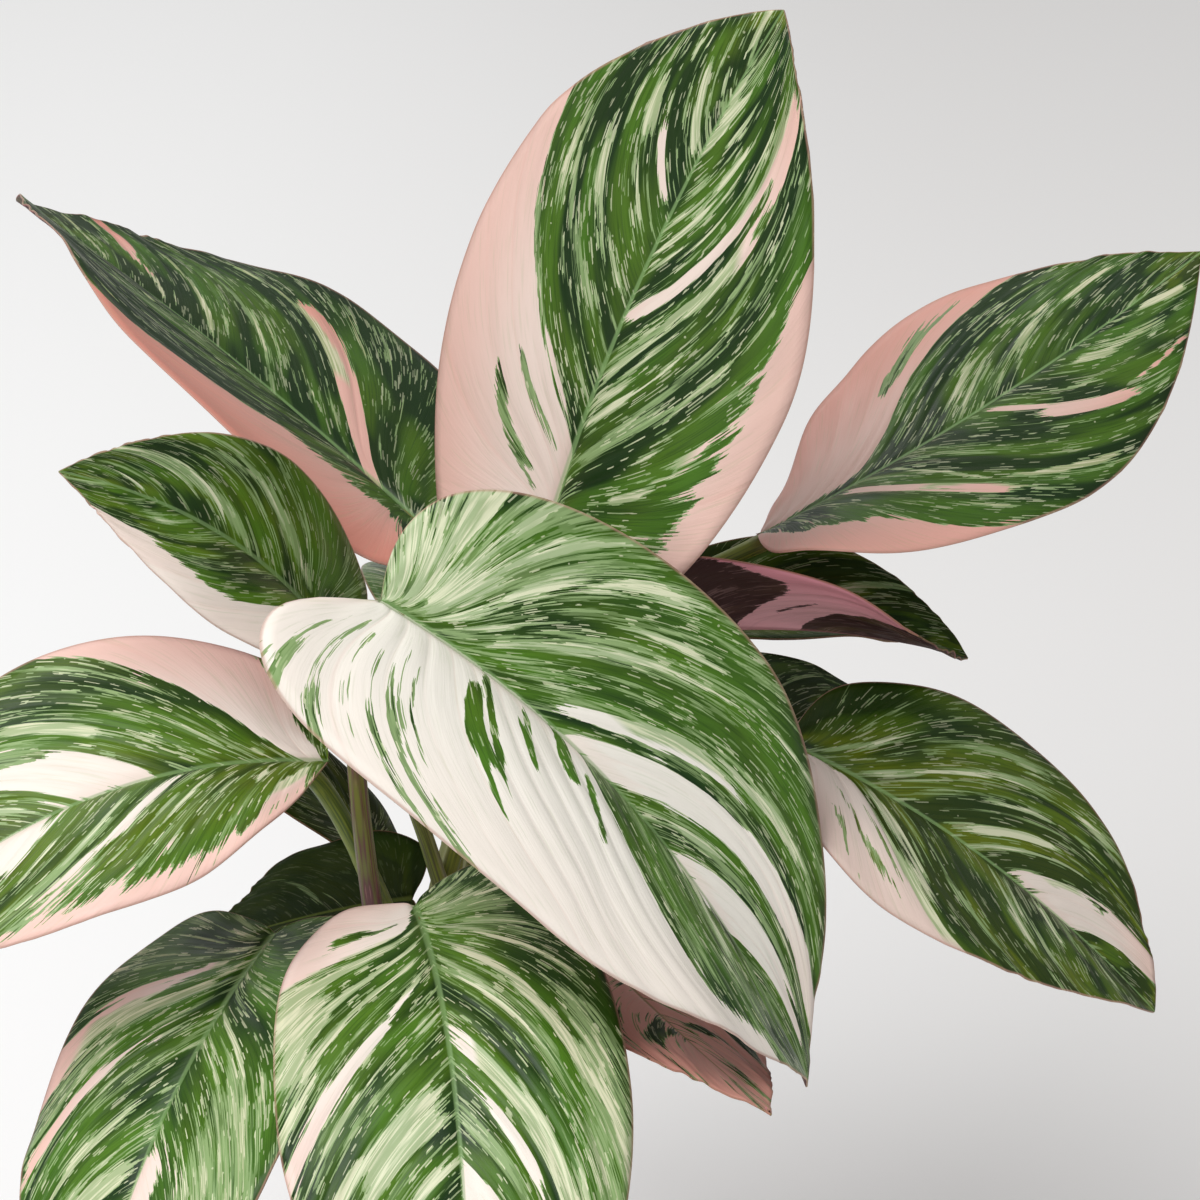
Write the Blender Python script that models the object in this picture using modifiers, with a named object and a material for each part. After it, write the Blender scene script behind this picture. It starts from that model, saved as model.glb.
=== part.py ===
"""Potted calathea: eighteen leaves on their stalks, the soil that they stand in, and a clay pot.

A blade is a flat, pointed oval with two lobes at its base. It is bent along the midrib, folded
up from it and curled at the margins. A stalk rises from its own hole in the soil and ends under
the base of its blade. Metres, +Z up, the origin at the centre of the pot's underside.
"""
import math
from dataclasses import dataclass

import bmesh
import bpy
import numpy as np
from mathutils import Matrix, Vector

# Driving dimensions, in millimetres and degrees
MM = 0.001
GAP = 0.3                   # between pieces that touch

POT_HEIGHT = 104.0
POT_RIM_RADIUS = 70.0
POT_BAND_HEIGHT = 20.0
POT_BAND_STEP = 3.5         # how far the rim's band stands out from the wall
POT_BASE_RADIUS = 48.0
POT_WALL = 5.0
POT_FLOOR = 7.0
POT_EDGE = 1.2              # rounding of the pot's edges
DRAIN_HOLES = 5
DRAIN_RADIUS = 4.0
DRAIN_RING_RADIUS = 26.0

SOIL_EDGE_HEIGHT = 91.0
SOIL_DOME = 4.0             # how much higher the soil is at the crown
SOIL_RINGS = 3
SOIL_CHAMFER = 2.5          # clears the rounded corner inside the pot

ROOT_SPACING = 6.6          # growth of the spiral on which the stalks stand
GOLDEN_ANGLE = 137.5
ROOT_DEPTH = 18.0
HOLE_SLACK = 0.9            # hole radius less stalk radius

BLADE_THICKNESS = 0.8
SHEATH_RADIUS = 3.6         # the stalk's lower part, which wraps the next one
STALK_RADIUS = 2.2
SHEATH_SHARE = 0.7          # the share of the stalk that the sheath wraps
STALK_TUCK = 7.0            # length of stalk that lies along under the midrib
STALK_STEPS = 10

LONG_LEAF = 112.0           # from this length a blade gets the finer grid
LONG_GRID = (14, 8)         # cells along and across
SHORT_GRID = (10, 6)
MIDRIB_STEPS = 80
VEIN_CROWDING = 1.3         # the side veins leave the midrib closer together near the base
VEIN_SWING = 1.4            # how they curve on towards the tip

TURNED_STEPS = 40
SHARP_ANGLE = 35.0          # edges sharper than this are rounded
CUTTER_SIDES = 12
MERGE = 0.00001             # metres
CURL_START = 0.01           # keeps the curl's radius finite on a flat half
UPRIGHT = np.array([0.0, 0.0, 1.0])

CLAY = (0.60, 0.27, 0.15, 1.0)
POTTING_SOIL = (0.055, 0.035, 0.022, 1.0)
LEAF_GREEN = (0.06, 0.19, 0.04, 1.0)
STALK_OLIVE = (0.17, 0.22, 0.03, 1.0)


@dataclass
class Leaf:
    """One leaf; lengths in millimetres, angles in degrees, pairs are its left and right half."""
    name: str
    root: int               # place on the spiral in the soil
    base: tuple             # where the stalk meets the blade
    length: float
    half: float             # half the blade's width
    heading: float          # from +X towards +Y
    pitch: float            # above level, at the base
    droop: float            # how far the midrib bends down on its way to the tip
    sweep: float = 0        # how far it bends to its left
    roll: float = 0         # left side down, at the base
    twist: float = 0        # what the roll gains on the way to the tip
    fold: tuple = (12, 12)  # each half's rise from the midrib
    curl: tuple = (-15, -15)   # what that rise gains on the way to the margin
    lobes: tuple = (8, 8)   # how far each lobe reaches back past the base
    belly: float = 0.42     # where the blade is widest, as a share of its length
    taper: float = 1.8      # how sharply the outline runs in to the tip
    stalk: float = 1.0      # scale of the stalk's thickness
    rise: float = 0.45      # how far the stalk keeps straight up, as a share of its reach
    arch: float = 0.14      # how far back its bend under the blade starts, likewise


LEAVES = [
    Leaf("front", 7, (-17, -54, 358), 170, 54, -10, -30, 40, 0, -20, 30, (25, 15), (20, -45),
         lobes=(12, 35), belly=0.47, taper=1.9, rise=0.2, arch=0.12),
    Leaf("tall", 1, (20, 8, 342), 158, 52, 0, 75, 15, -5, -35, -20, (20, 0), (-20, -30),
         lobes=(18, 10), rise=0.7),
    Leaf("upper_left", 13, (-12, 39, 337), 170, 50, 145, 30, 20, -10, -5, -30, (15, 20), (-10, 0),
         lobes=(22, 0)),
    Leaf("mid_left", 10, (-33, -17, 331), 90, 26, 210, 60, 40, -10, 30, 30, (15, 20), (-30, 10),
         lobes=(12, 12), belly=0.38, taper=2.0, stalk=0.8, rise=0.62),
    Leaf("upper_right", 12, (78, 24, 341), 151, 46, 25, 17, -10, 5, 20, -50, (0, 5), (10, -35),
         lobes=(-15, 10), taper=2.1, rise=0.87, arch=0.2),
    Leaf("left", 2, (-33, -37, 305), 140, 44, 200, 15, 65, 0, 10, 5, (15, 15), (-25, 5),
         lobes=(-12, 2), stalk=1.15, arch=0.02),
    Leaf("lower_left", 17, (-47, -52, 264), 140, 42, 245, -10, 70, -10, -10, -5, (10, 10),
         (-15, -20), lobes=(12, 8), taper=1.7),
    Leaf("bottom", 15, (-11, -57, 275), 150, 43, -75, 0, 80, -15, -5, 5, (10, 5), (-30, -10),
         lobes=(20, 5), belly=0.44, taper=1.7, arch=0.08),
    Leaf("lower_right", 3, (86, 2, 290), 122, 40, -15, -20, 25, -5, -10, 5, (20, 20), (-5, -45),
         lobes=(0, 0), taper=1.7),
    Leaf("right_folded", 11, (41, 2, 322), 115, 31, 27, -4, 24, 0, 0, -80, (-15, 82), (20, -15),
         lobes=(-14, 8), belly=0.40, taper=2.0, stalk=0.8, rise=0.2, arch=0.02),
    Leaf("right_small", 16, (57, 76, 288), 110, 32, 45, -5, 30, 0, -5, -10, (15, 15), (-15, -5),
         taper=1.7, stalk=0.8, rise=0.7),
    Leaf("under_front", 4, (33, -4, 232), 118, 35, -80, 20, 25, 25, 10, 20, (0, 5), (-15, -40),
         belly=0.40, taper=2.0, rise=0.7, arch=0.02),
    Leaf("right_dark", 8, (68, 27, 289), 90, 28, 25, -20, 25, 0, -20, -15, (10, 5), (-25, -25),
         stalk=0.8, rise=0.2),
    Leaf("crown_dark", 9, (-16, 8, 239), 61, 29, 172, -12, 15, 0, 0, -10, (0, 25), (-20, -10),
         belly=0.48, taper=1.3, stalk=0.8, arch=0.08),
    Leaf("crown_olive", 6, (-27, 67, 219), 90, 26, 180, 50, 20, stalk=0.8),
    Leaf("back", 14, (6, 50, 300), 130, 40, 90, 5, 60, rise=0.7, arch=0.02),
    Leaf("back_left", 5, (-22, 56, 284), 110, 36, 120, -5, 55),
    Leaf("back_right", 0, (20, 60, 250), 105, 33, 70, -5, 50, stalk=0.8),
]


# Shape of a leaf

def margin(leaf, u, side):
    """Flat outline, u from 0 at the base to 1 at the tip: millimetres along and across."""
    turn = np.pi * u
    outer = turn > np.pi / 2
    lobe = leaf.lobes[1 if side > 0 else 0] * np.where(outer, 0.0, np.sin(2 * turn))
    along = leaf.length * ((1 - np.cos(turn)) / 2) ** (math.log(leaf.belly) / math.log(0.5)) - lobe
    across = leaf.half * np.clip(np.sin(turn), 0, 1) ** np.where(outer, leaf.taper, 1.0)
    return along, across


def heading_frame(leaf, t):
    """Directions at share t of the midrib, before any roll: ahead, to the right and up."""
    pitch = np.radians(leaf.pitch - leaf.droop * t)[..., None]
    heading = np.radians(leaf.heading + leaf.sweep * t)
    level = np.stack([np.cos(heading), np.sin(heading), 0 * heading], -1)
    right = np.stack([np.sin(heading), -np.cos(heading), 0 * heading], -1)
    ahead = np.cos(pitch) * level + np.sin(pitch) * UPRIGHT
    return ahead, right, np.cos(pitch) * UPRIGHT - np.sin(pitch) * level


def rolled_frame(leaf, t):
    """The same directions once the leaf is rolled and twisted about its midrib."""
    ahead, right, up = heading_frame(leaf, t)
    roll = np.radians(leaf.roll + leaf.twist * t)[..., None]
    return ahead, np.cos(roll) * right + np.sin(roll) * up, np.cos(roll) * up - np.sin(roll) * right


def midrib_points(leaf, along):
    """Places on the bent midrib, which runs on straight past either end (millimetres)."""
    middles = (np.arange(MIDRIB_STEPS) + 0.5) / MIDRIB_STEPS
    strides = heading_frame(leaf, middles)[0] * leaf.length / MIDRIB_STEPS
    spine = np.vstack([np.zeros(3), np.cumsum(strides, axis=0)]) + leaf.base
    stations = np.linspace(0, leaf.length, MIDRIB_STEPS + 1)
    inside = np.clip(along, 0, leaf.length)
    places = np.stack([np.interp(inside, stations, spine[:, axis]) for axis in range(3)], -1)
    return places + (along - inside)[..., None] * heading_frame(leaf, inside / leaf.length)[0]


def bend(leaf, along, across):
    """Carries points of the flat blade onto the bent, folded and curled leaf (millimetres)."""
    ahead, right, up = rolled_frame(leaf, np.clip(along / leaf.length, 0, 1))
    on_right = across >= 0
    fold = np.radians(np.where(on_right, leaf.fold[1], leaf.fold[0]))
    curl = np.radians(np.where(on_right, leaf.curl[1], leaf.curl[0]) + CURL_START)
    share = np.abs(across) / leaf.half
    reach = leaf.half * (np.sin(fold + curl * share) - np.sin(fold)) / curl
    rise = leaf.half * (np.cos(fold) - np.cos(fold + curl * share)) / curl
    reach = np.where(on_right, reach, -reach)
    return midrib_points(leaf, along) + reach[..., None] * right + rise[..., None] * up


def blade_points(leaf, u, v):
    """Points of the blade, v from -1 to 1 across it: a line of one u runs as a side vein does."""
    left_along, left_across = margin(leaf, u, -1)
    right_along, right_across = margin(leaf, u, 1)
    edge_along = np.where(v > 0, right_along, left_along)
    edge_across = np.where(v > 0, right_across, left_across)
    start = leaf.length * u ** VEIN_CROWDING
    along = start + (edge_along - start) * np.abs(v) ** VEIN_SWING
    return bend(leaf, along, edge_across * v)


def pot_outer_radius(height):
    return POT_BASE_RADIUS + (POT_RIM_RADIUS - POT_BAND_STEP - POT_BASE_RADIUS) * height / POT_HEIGHT


def soil_radius(height):
    return pot_outer_radius(height) - POT_WALL - GAP


def soil_height(radius):
    return SOIL_EDGE_HEIGHT + SOIL_DOME * (1 - (radius / soil_radius(SOIL_EDGE_HEIGHT)) ** 2)


def root_place(leaf):
    """Where the stalk stands, on the spiral in which shoots crowd round a crown."""
    radius = ROOT_SPACING * math.sqrt(leaf.root + 0.5)
    turn = math.radians(GOLDEN_ANGLE * leaf.root)
    return np.array([radius * math.cos(turn), radius * math.sin(turn), soil_height(radius)])


def stalk_radius(leaf, t):
    """Radius at share t above the soil: the sheath thins out, and the stalk above it is even."""
    sheath = max(0.0, 1 - t / SHEATH_SHARE) ** SHEATH_SHARE
    return leaf.stalk * (STALK_RADIUS + (SHEATH_RADIUS - STALK_RADIUS) * sheath)


def stalk_points(leaf):
    """Centre line of a stalk, from its foot in the soil to its end along under the midrib."""
    tuck = np.array([STALK_TUCK])
    ahead, _, up = (direction[0] for direction in rolled_frame(leaf, tuck / leaf.length))
    end = midrib_points(leaf, tuck)[0] - up * (BLADE_THICKNESS / 2 + GAP + stalk_radius(leaf, 1))
    foot = root_place(leaf)
    distance = np.linalg.norm(end - foot)
    upward = foot + UPRIGHT * leaf.rise * distance
    arrival = end - ahead * (STALK_TUCK + leaf.arch * distance)
    points = [foot - UPRIGHT * ROOT_DEPTH]
    for step in range(STALK_STEPS + 1):
        t = step / STALK_STEPS
        s = 1 - t
        points.append(s ** 3 * foot + 3 * s * s * t * upward + 3 * s * t * t * arrival + t ** 3 * end)
    return points


# Blender helpers

def clear_scene():
    for old in list(bpy.data.objects):
        bpy.data.objects.remove(old, do_unlink=True)


def new_collection(name):
    made = bpy.data.collections.new(name)
    bpy.context.scene.collection.children.link(made)
    return made


def principled(name, colour, roughness):
    made = bpy.data.materials.new(name)
    made.use_nodes = True
    shader = made.node_tree.nodes["Principled BSDF"]
    shader.inputs["Base Color"].default_value = colour
    shader.inputs["Roughness"].default_value = roughness
    shader.inputs["Metallic"].default_value = 0.0
    made.diffuse_color = colour
    return made


def add_object(name, data, collection, material=None):
    made = bpy.data.objects.new(name, data)
    collection.objects.link(made)
    if material:
        data.materials.append(material)
    return made


def turned(name, profile, collection, material, edge=0.0):
    """A solid turned about Z from a profile that runs down its outer side (millimetres)."""
    mesh = bpy.data.meshes.new(name)
    bm = bmesh.new()
    corners = [bm.verts.new((radius * MM, 0.0, height * MM)) for radius, height in profile]
    for first, second in zip(corners, corners[1:]):
        bm.edges.new((first, second))
    bm.to_mesh(mesh)
    bm.free()
    made = add_object(name, mesh, collection, material)
    screw = made.modifiers.new("turn", 'SCREW')
    screw.steps = screw.render_steps = TURNED_STEPS
    screw.use_merge_vertices = True
    screw.merge_threshold = MERGE
    if edge:
        bevel = made.modifiers.new("rounded edges", 'BEVEL')
        bevel.width = edge * MM
        bevel.segments = 2
        bevel.limit_method = 'ANGLE'
        bevel.angle_limit = math.radians(SHARP_ANGLE)
    return made


def upright_cylinders(name, places, collection):
    """Cutter of upright cylinders, each a place's (x, y, bottom, top, radius) in millimetres."""
    mesh = bpy.data.meshes.new(name)
    bm = bmesh.new()
    for x, y, bottom, top, radius in places:
        middle = Vector((x, y, (bottom + top) / 2)) * MM
        bmesh.ops.create_cone(bm, cap_ends=True, segments=CUTTER_SIDES, radius1=radius * MM,
                              radius2=radius * MM, depth=(top - bottom) * MM,
                              matrix=Matrix.Translation(middle))
    bm.to_mesh(mesh)
    bm.free()
    made = add_object(name, mesh, collection)
    made.hide_render = True
    made.display_type = 'WIRE'
    return made


def cut(target, cutter):
    boolean = target.modifiers.new("cut " + cutter.name, 'BOOLEAN')
    boolean.operation = 'DIFFERENCE'
    boolean.object = cutter


# Pot and soil

def make_pot(parts, cutters, material):
    band = POT_HEIGHT - POT_BAND_HEIGHT
    profile = [
        (0, POT_FLOOR),
        (pot_outer_radius(POT_FLOOR) - POT_WALL, POT_FLOOR),
        (pot_outer_radius(POT_HEIGHT) - POT_WALL, POT_HEIGHT),
        (POT_RIM_RADIUS, POT_HEIGHT),
        (pot_outer_radius(band) + POT_BAND_STEP, band),
        (pot_outer_radius(band), band),
        (POT_BASE_RADIUS, 0),
        (0, 0),
    ]
    pot = turned("pot", profile, parts, material, POT_EDGE)
    places = []
    for index in range(DRAIN_HOLES):
        turn = 2 * math.pi * index / DRAIN_HOLES
        places.append((DRAIN_RING_RADIUS * math.cos(turn), DRAIN_RING_RADIUS * math.sin(turn),
                       -POT_FLOOR, 2 * POT_FLOOR, DRAIN_RADIUS))
    cut(pot, upright_cylinders("drain_hole_cutter", places, cutters))


def make_soil(parts, cutters, material):
    top_radius = soil_radius(SOIL_EDGE_HEIGHT)
    bottom = POT_FLOOR + GAP
    rings = [top_radius * ring / SOIL_RINGS for ring in range(SOIL_RINGS + 1)]
    profile = [(radius, soil_height(radius)) for radius in rings]
    profile += [(soil_radius(bottom + SOIL_CHAMFER), bottom + SOIL_CHAMFER),
                (soil_radius(bottom) - SOIL_CHAMFER, bottom), (0, bottom)]
    soil = turned("soil", profile, parts, material)
    places = []
    for leaf in LEAVES:
        x, y, top = root_place(leaf)
        places.append((x, y, top - ROOT_DEPTH - GAP, POT_HEIGHT, stalk_radius(leaf, 0) + HOLE_SLACK))
    cut(soil, upright_cylinders("stalk_hole_cutter", places, cutters))


# Leaves

def make_blade(leaf, parts, material):
    name = "leaf_" + leaf.name + "_blade"
    cells_along, cells_across = LONG_GRID if leaf.length > LONG_LEAF else SHORT_GRID
    mesh = bpy.data.meshes.new(name)
    bm = bmesh.new()
    bmesh.ops.create_grid(bm, x_segments=cells_along, y_segments=cells_across, size=1.0)
    flat = np.array([vert.co[:2] for vert in bm.verts])
    placed = blade_points(leaf, (flat[:, 0] + 1) / 2, -flat[:, 1]) * MM
    for vert, place in zip(bm.verts, placed):
        vert.co = place
    bmesh.ops.remove_doubles(bm, verts=bm.verts, dist=MERGE)
    bmesh.ops.triangulate(bm, faces=bm.faces)
    bm.to_mesh(mesh)
    bm.free()
    mesh.shade_smooth()
    blade = add_object(name, mesh, parts, material)
    solid = blade.modifiers.new("thickness", 'SOLIDIFY')
    solid.thickness = BLADE_THICKNESS * MM
    solid.offset = 0.0
    solid.use_even_offset = True


def make_stalk(leaf, parts, material):
    name = "leaf_" + leaf.name + "_stalk"
    points = stalk_points(leaf)
    curve = bpy.data.curves.new(name, 'CURVE')
    curve.dimensions = '3D'
    curve.bevel_depth = MM
    curve.bevel_resolution = 2
    curve.use_fill_caps = True
    spline = curve.splines.new('POLY')
    spline.points.add(len(points) - 1)
    for index, (point, place) in enumerate(zip(spline.points, points)):
        point.co = (*(place * MM), 1.0)
        point.radius = stalk_radius(leaf, max(0, index - 1) / STALK_STEPS)
    add_object(name, curve, parts, material)


def main():
    clear_scene()
    parts = new_collection("potted_calathea")
    cutters = new_collection("cutters")
    make_pot(parts, cutters, principled("clay", CLAY, 0.85))
    make_soil(parts, cutters, principled("potting soil", POTTING_SOIL, 0.95))
    blade_skin = principled("variegated leaf", LEAF_GREEN, 0.4)
    stalk_skin = principled("leaf stalk", STALK_OLIVE, 0.45)
    for leaf in LEAVES:
        make_blade(leaf, parts, blade_skin)
        make_stalk(leaf, parts, stalk_skin)


main()
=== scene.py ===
# %% [markdown]
# # Potted calathea
# A calathea makes a rosette of broad leaves, each on a stalk of its own. The leaves are what
# people buy it for: every one is painted with cream, sage and pink strokes that follow its side
# veins. The imported part already holds the place, size and main form of each piece, so it is
# loaded first, and its boxes are read for the pot and the soil.

# %% Load the imported part
import math
from dataclasses import dataclass

import bmesh
import bpy
import numpy as np
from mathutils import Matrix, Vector


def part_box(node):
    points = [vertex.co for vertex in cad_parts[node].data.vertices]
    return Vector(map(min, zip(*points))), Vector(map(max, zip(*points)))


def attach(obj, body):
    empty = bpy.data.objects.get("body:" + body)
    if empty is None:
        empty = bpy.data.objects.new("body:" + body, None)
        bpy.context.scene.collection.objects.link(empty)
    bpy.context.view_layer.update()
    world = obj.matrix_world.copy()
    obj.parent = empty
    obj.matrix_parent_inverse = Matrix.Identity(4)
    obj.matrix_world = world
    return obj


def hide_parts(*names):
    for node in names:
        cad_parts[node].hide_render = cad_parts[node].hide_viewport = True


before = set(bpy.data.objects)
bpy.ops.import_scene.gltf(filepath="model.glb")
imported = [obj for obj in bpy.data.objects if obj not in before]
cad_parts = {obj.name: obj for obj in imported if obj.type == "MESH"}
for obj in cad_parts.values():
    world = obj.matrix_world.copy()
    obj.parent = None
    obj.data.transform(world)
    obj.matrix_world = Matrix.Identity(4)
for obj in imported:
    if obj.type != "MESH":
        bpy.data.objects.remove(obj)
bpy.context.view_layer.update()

MM = 0.001
MERGE = 0.00001             # metres: points closer than this become one
UPRIGHT = np.array([0.0, 0.0, 1.0])


# %% [markdown]
# ## The camera
# The photograph looks down on the leaves at about 25 degrees, from so far off that the near and
# the far leaves keep nearly the same scale. A long lens at that distance gives the same look. It
# aims at the heart of the plant, so it needs no shift.

# %% Camera
VIEW_ELEVATION = 25.0
VIEW_DISTANCE = 0.8667
LENS = 100.0                # millimetres, as the sensor's width is
SENSOR = 36.0
AIM = Vector((0.03588, 0.0, 0.33254))

looking_down = math.radians(VIEW_ELEVATION)
camera = bpy.data.objects.new("camera", bpy.data.cameras.new("camera"))
bpy.context.scene.collection.objects.link(camera)
camera.data.lens = LENS
camera.data.sensor_width = SENSOR
camera.location = AIM + VIEW_DISTANCE * Vector((0, -math.cos(looking_down), math.sin(looking_down)))
camera.rotation_euler = (math.radians(90) - looking_down, 0, 0)
bpy.context.scene.camera = camera
print("camera at", [round(x, 3) for x in camera.location])

# %% [markdown]
# ## The leaves' places
# Each leaf is told by where its stalk meets the blade, its length and width, the way its midrib
# runs, and how each half is folded and curled. These are the values that the solid part was
# drawn from, so that each detailed blade lies in its own solid. Most were fitted to outlines
# traced in the photograph and then rounded, and a search for clear routes chose the stalks'
# places. Only `veins` and `basal` are new here: they tell how the side veins run.

# %% One row for each leaf
@dataclass
class Leaf:
    """One leaf; lengths in millimetres, angles in degrees, pairs are its left and right half."""
    name: str
    root: int               # place on the spiral in the soil
    base: tuple             # where the stalk meets the blade
    length: float
    half: float             # half the blade's width
    heading: float          # from +X towards +Y
    pitch: float            # above level, at the base
    droop: float            # how far the midrib bends down on its way to the tip
    sweep: float = 0        # how far it bends to its left
    roll: float = 0         # left side down, at the base
    twist: float = 0        # what the roll gains on the way to the tip
    fold: tuple = (12, 12)  # each half's rise from the midrib
    curl: tuple = (-15, -15)   # what that rise gains on the way to the margin
    lobes: tuple = (8, 8)   # how far each lobe reaches back past the base
    belly: float = 0.42     # where the blade is widest, as a share of its length
    taper: float = 1.8      # how sharply the outline runs in to the tip
    stalk: float = 1.0      # scale of the stalk's thickness
    rise: float = 0.45      # how far the stalk keeps straight up, as a share of its reach
    arch: float = 0.14      # how far back its bend under the blade starts, likewise
    veins: tuple = ((0.7, 1.4), (0.7, 1.4))   # each half's sweep of the side veins, and its lean
    basal: tuple = (0.0, 0.0)   # how round the first veins run through each half's lobe


LEAVES = [
    Leaf("front", 7, (-17, -54, 358), 170, 54, -10, -30, 40, 0, -20, 30, (25, 15), (20, -45),
         lobes=(12, 35), belly=0.47, taper=1.9, rise=0.2, arch=0.12, veins=((0.78, 1.0), (0.48, 1.0)),
         basal=(0.0, 1.0)),
    Leaf("tall", 1, (20, 8, 342), 158, 52, 0, 75, 15, -5, -35, -20, (20, 0), (-20, -30),
         lobes=(18, 10), rise=0.7, veins=((0.75, 1.4), (0.78, 1.1))),
    Leaf("upper_left", 13, (-12, 39, 337), 170, 50, 145, 30, 20, -10, -5, -30, (15, 20), (-10, 0),
         lobes=(22, 0), veins=((0.8, 1.6), (0.8, 1.6))),
    Leaf("mid_left", 10, (-33, -17, 331), 90, 26, 210, 60, 40, -10, 30, 30, (15, 20), (-30, 10),
         lobes=(12, 12), belly=0.38, taper=2.0, stalk=0.8, rise=0.62, veins=((0.78, 1.3), (0.7, 1.3))),
    Leaf("upper_right", 12, (78, 24, 341), 151, 46, 25, 17, -10, 5, 20, -50, (0, 5), (10, -35),
         lobes=(-15, 10), taper=2.1, rise=0.87, arch=0.2, veins=((0.78, 1.4), (0.6, 1.4))),
    Leaf("left", 2, (-33, -37, 305), 140, 44, 200, 15, 65, 0, 10, 5, (15, 15), (-25, 5),
         lobes=(-12, 2), stalk=1.15, arch=0.02, veins=((0.6, 1.3), (0.7, 1.3))),
    Leaf("lower_left", 17, (-47, -52, 264), 140, 42, 245, -10, 70, -10, -10, -5, (10, 10),
         (-15, -20), lobes=(12, 8), taper=1.7, veins=((0.5, 1.4), (0.7, 1.5))),
    Leaf("bottom", 15, (-11, -57, 275), 150, 43, -75, 0, 80, -15, -5, 5, (10, 5), (-30, -10),
         lobes=(20, 5), belly=0.44, taper=1.7, arch=0.08, veins=((0.65, 1.3), (0.55, 1.6))),
    Leaf("lower_right", 3, (86, 2, 290), 122, 40, -15, -20, 25, -5, -10, 5, (20, 20), (-5, -45),
         lobes=(0, 0), taper=1.7, veins=((0.78, 1.3), (0.7, 1.8))),
    Leaf("right_folded", 11, (41, 2, 322), 115, 31, 27, -4, 24, 0, 0, -80, (-15, 82), (20, -15),
         lobes=(-14, 8), belly=0.40, taper=2.0, stalk=0.8, rise=0.2, arch=0.02),
    Leaf("right_small", 16, (57, 76, 288), 110, 32, 45, -5, 30, 0, -5, -10, (15, 15), (-15, -5),
         taper=1.7, stalk=0.8, rise=0.7),
    Leaf("under_front", 4, (33, -4, 232), 118, 35, -80, 20, 25, 25, 10, 20, (0, 5), (-15, -40),
         belly=0.40, taper=2.0, rise=0.7, arch=0.02),
    Leaf("right_dark", 8, (68, 27, 289), 90, 28, 25, -20, 25, 0, -20, -15, (10, 5), (-25, -25),
         stalk=0.8, rise=0.2),
    Leaf("crown_dark", 9, (-16, 8, 239), 61, 29, 172, -12, 15, 0, 0, -10, (0, 25), (-20, -10),
         belly=0.48, taper=1.3, stalk=0.8, arch=0.08),
    Leaf("crown_olive", 6, (-27, 67, 219), 90, 26, 180, 50, 20, stalk=0.8),
    Leaf("back", 14, (6, 50, 300), 130, 40, 90, 5, 60, rise=0.7, arch=0.02),
    Leaf("back_left", 5, (-22, 56, 284), 110, 36, 120, -5, 55),
    Leaf("back_right", 0, (20, 60, 250), 105, 33, 70, -5, 50, stalk=0.8),
]
print(len(LEAVES), "leaves")

# %% [markdown]
# ## From a flat outline to a bent leaf
# A real blade is a flat oval in the bud, and it bends as it opens. The same order works here:
# a flat outline, a bent midrib, and then two halves that fold up from it and curl at the margin.

# %% The bent midrib and its directions
CURL_START = 0.01           # keeps the curl's radius finite on a flat half
MIDRIB_STEPS = 80


def heading_frame(leaf, t):
    """Directions at share t of the midrib, before any roll: ahead, to the right and up."""
    pitch = np.radians(leaf.pitch - leaf.droop * t)[..., None]
    heading = np.radians(leaf.heading + leaf.sweep * t)
    level = np.stack([np.cos(heading), np.sin(heading), 0 * heading], -1)
    right = np.stack([np.sin(heading), -np.cos(heading), 0 * heading], -1)
    ahead = np.cos(pitch) * level + np.sin(pitch) * UPRIGHT
    return ahead, right, np.cos(pitch) * UPRIGHT - np.sin(pitch) * level


def rolled_frame(leaf, t):
    """The same directions once the leaf is rolled and twisted about its midrib."""
    ahead, right, up = heading_frame(leaf, t)
    roll = np.radians(leaf.roll + leaf.twist * t)[..., None]
    return ahead, np.cos(roll) * right + np.sin(roll) * up, np.cos(roll) * up - np.sin(roll) * right


def midrib_points(leaf, along):
    """Places on the bent midrib, which runs on straight past either end (millimetres)."""
    middles = (np.arange(MIDRIB_STEPS) + 0.5) / MIDRIB_STEPS
    strides = heading_frame(leaf, middles)[0] * leaf.length / MIDRIB_STEPS
    spine = np.vstack([np.zeros(3), np.cumsum(strides, axis=0)]) + leaf.base
    stations = np.linspace(0, leaf.length, MIDRIB_STEPS + 1)
    inside = np.clip(along, 0, leaf.length)
    places = np.stack([np.interp(inside, stations, spine[:, axis]) for axis in range(3)], -1)
    return places + (along - inside)[..., None] * heading_frame(leaf, inside / leaf.length)[0]


# %% The outline, and the fold and curl of each half
VEIN_CROWDING = 1.3         # the side veins leave the midrib closer together near the base
VEIN_SWING = 1.4            # how they curve on towards the tip


def margin(leaf, u, side):
    """Flat outline, u from 0 at the base to 1 at the tip: millimetres along and across."""
    turn = np.pi * u
    outer = turn > np.pi / 2
    lobe = leaf.lobes[1 if side > 0 else 0] * np.where(outer, 0.0, np.sin(2 * turn))
    along = leaf.length * ((1 - np.cos(turn)) / 2) ** (math.log(leaf.belly) / math.log(0.5)) - lobe
    across = leaf.half * np.clip(np.sin(turn), 0, 1) ** np.where(outer, leaf.taper, 1.0)
    return along, across


def bend(leaf, along, across):
    """Carries points of the flat blade onto the bent, folded and curled leaf (millimetres)."""
    ahead, right, up = rolled_frame(leaf, np.clip(along / leaf.length, 0, 1))
    on_right = across >= 0
    fold = np.radians(np.where(on_right, leaf.fold[1], leaf.fold[0]))
    curl = np.radians(np.where(on_right, leaf.curl[1], leaf.curl[0]) + CURL_START)
    share = np.abs(across) / leaf.half
    reach = leaf.half * (np.sin(fold + curl * share) - np.sin(fold)) / curl
    rise = leaf.half * (np.cos(fold) - np.cos(fold + curl * share)) / curl
    reach = np.where(on_right, reach, -reach)
    return midrib_points(leaf, along) + reach[..., None] * right + rise[..., None] * up


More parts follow.
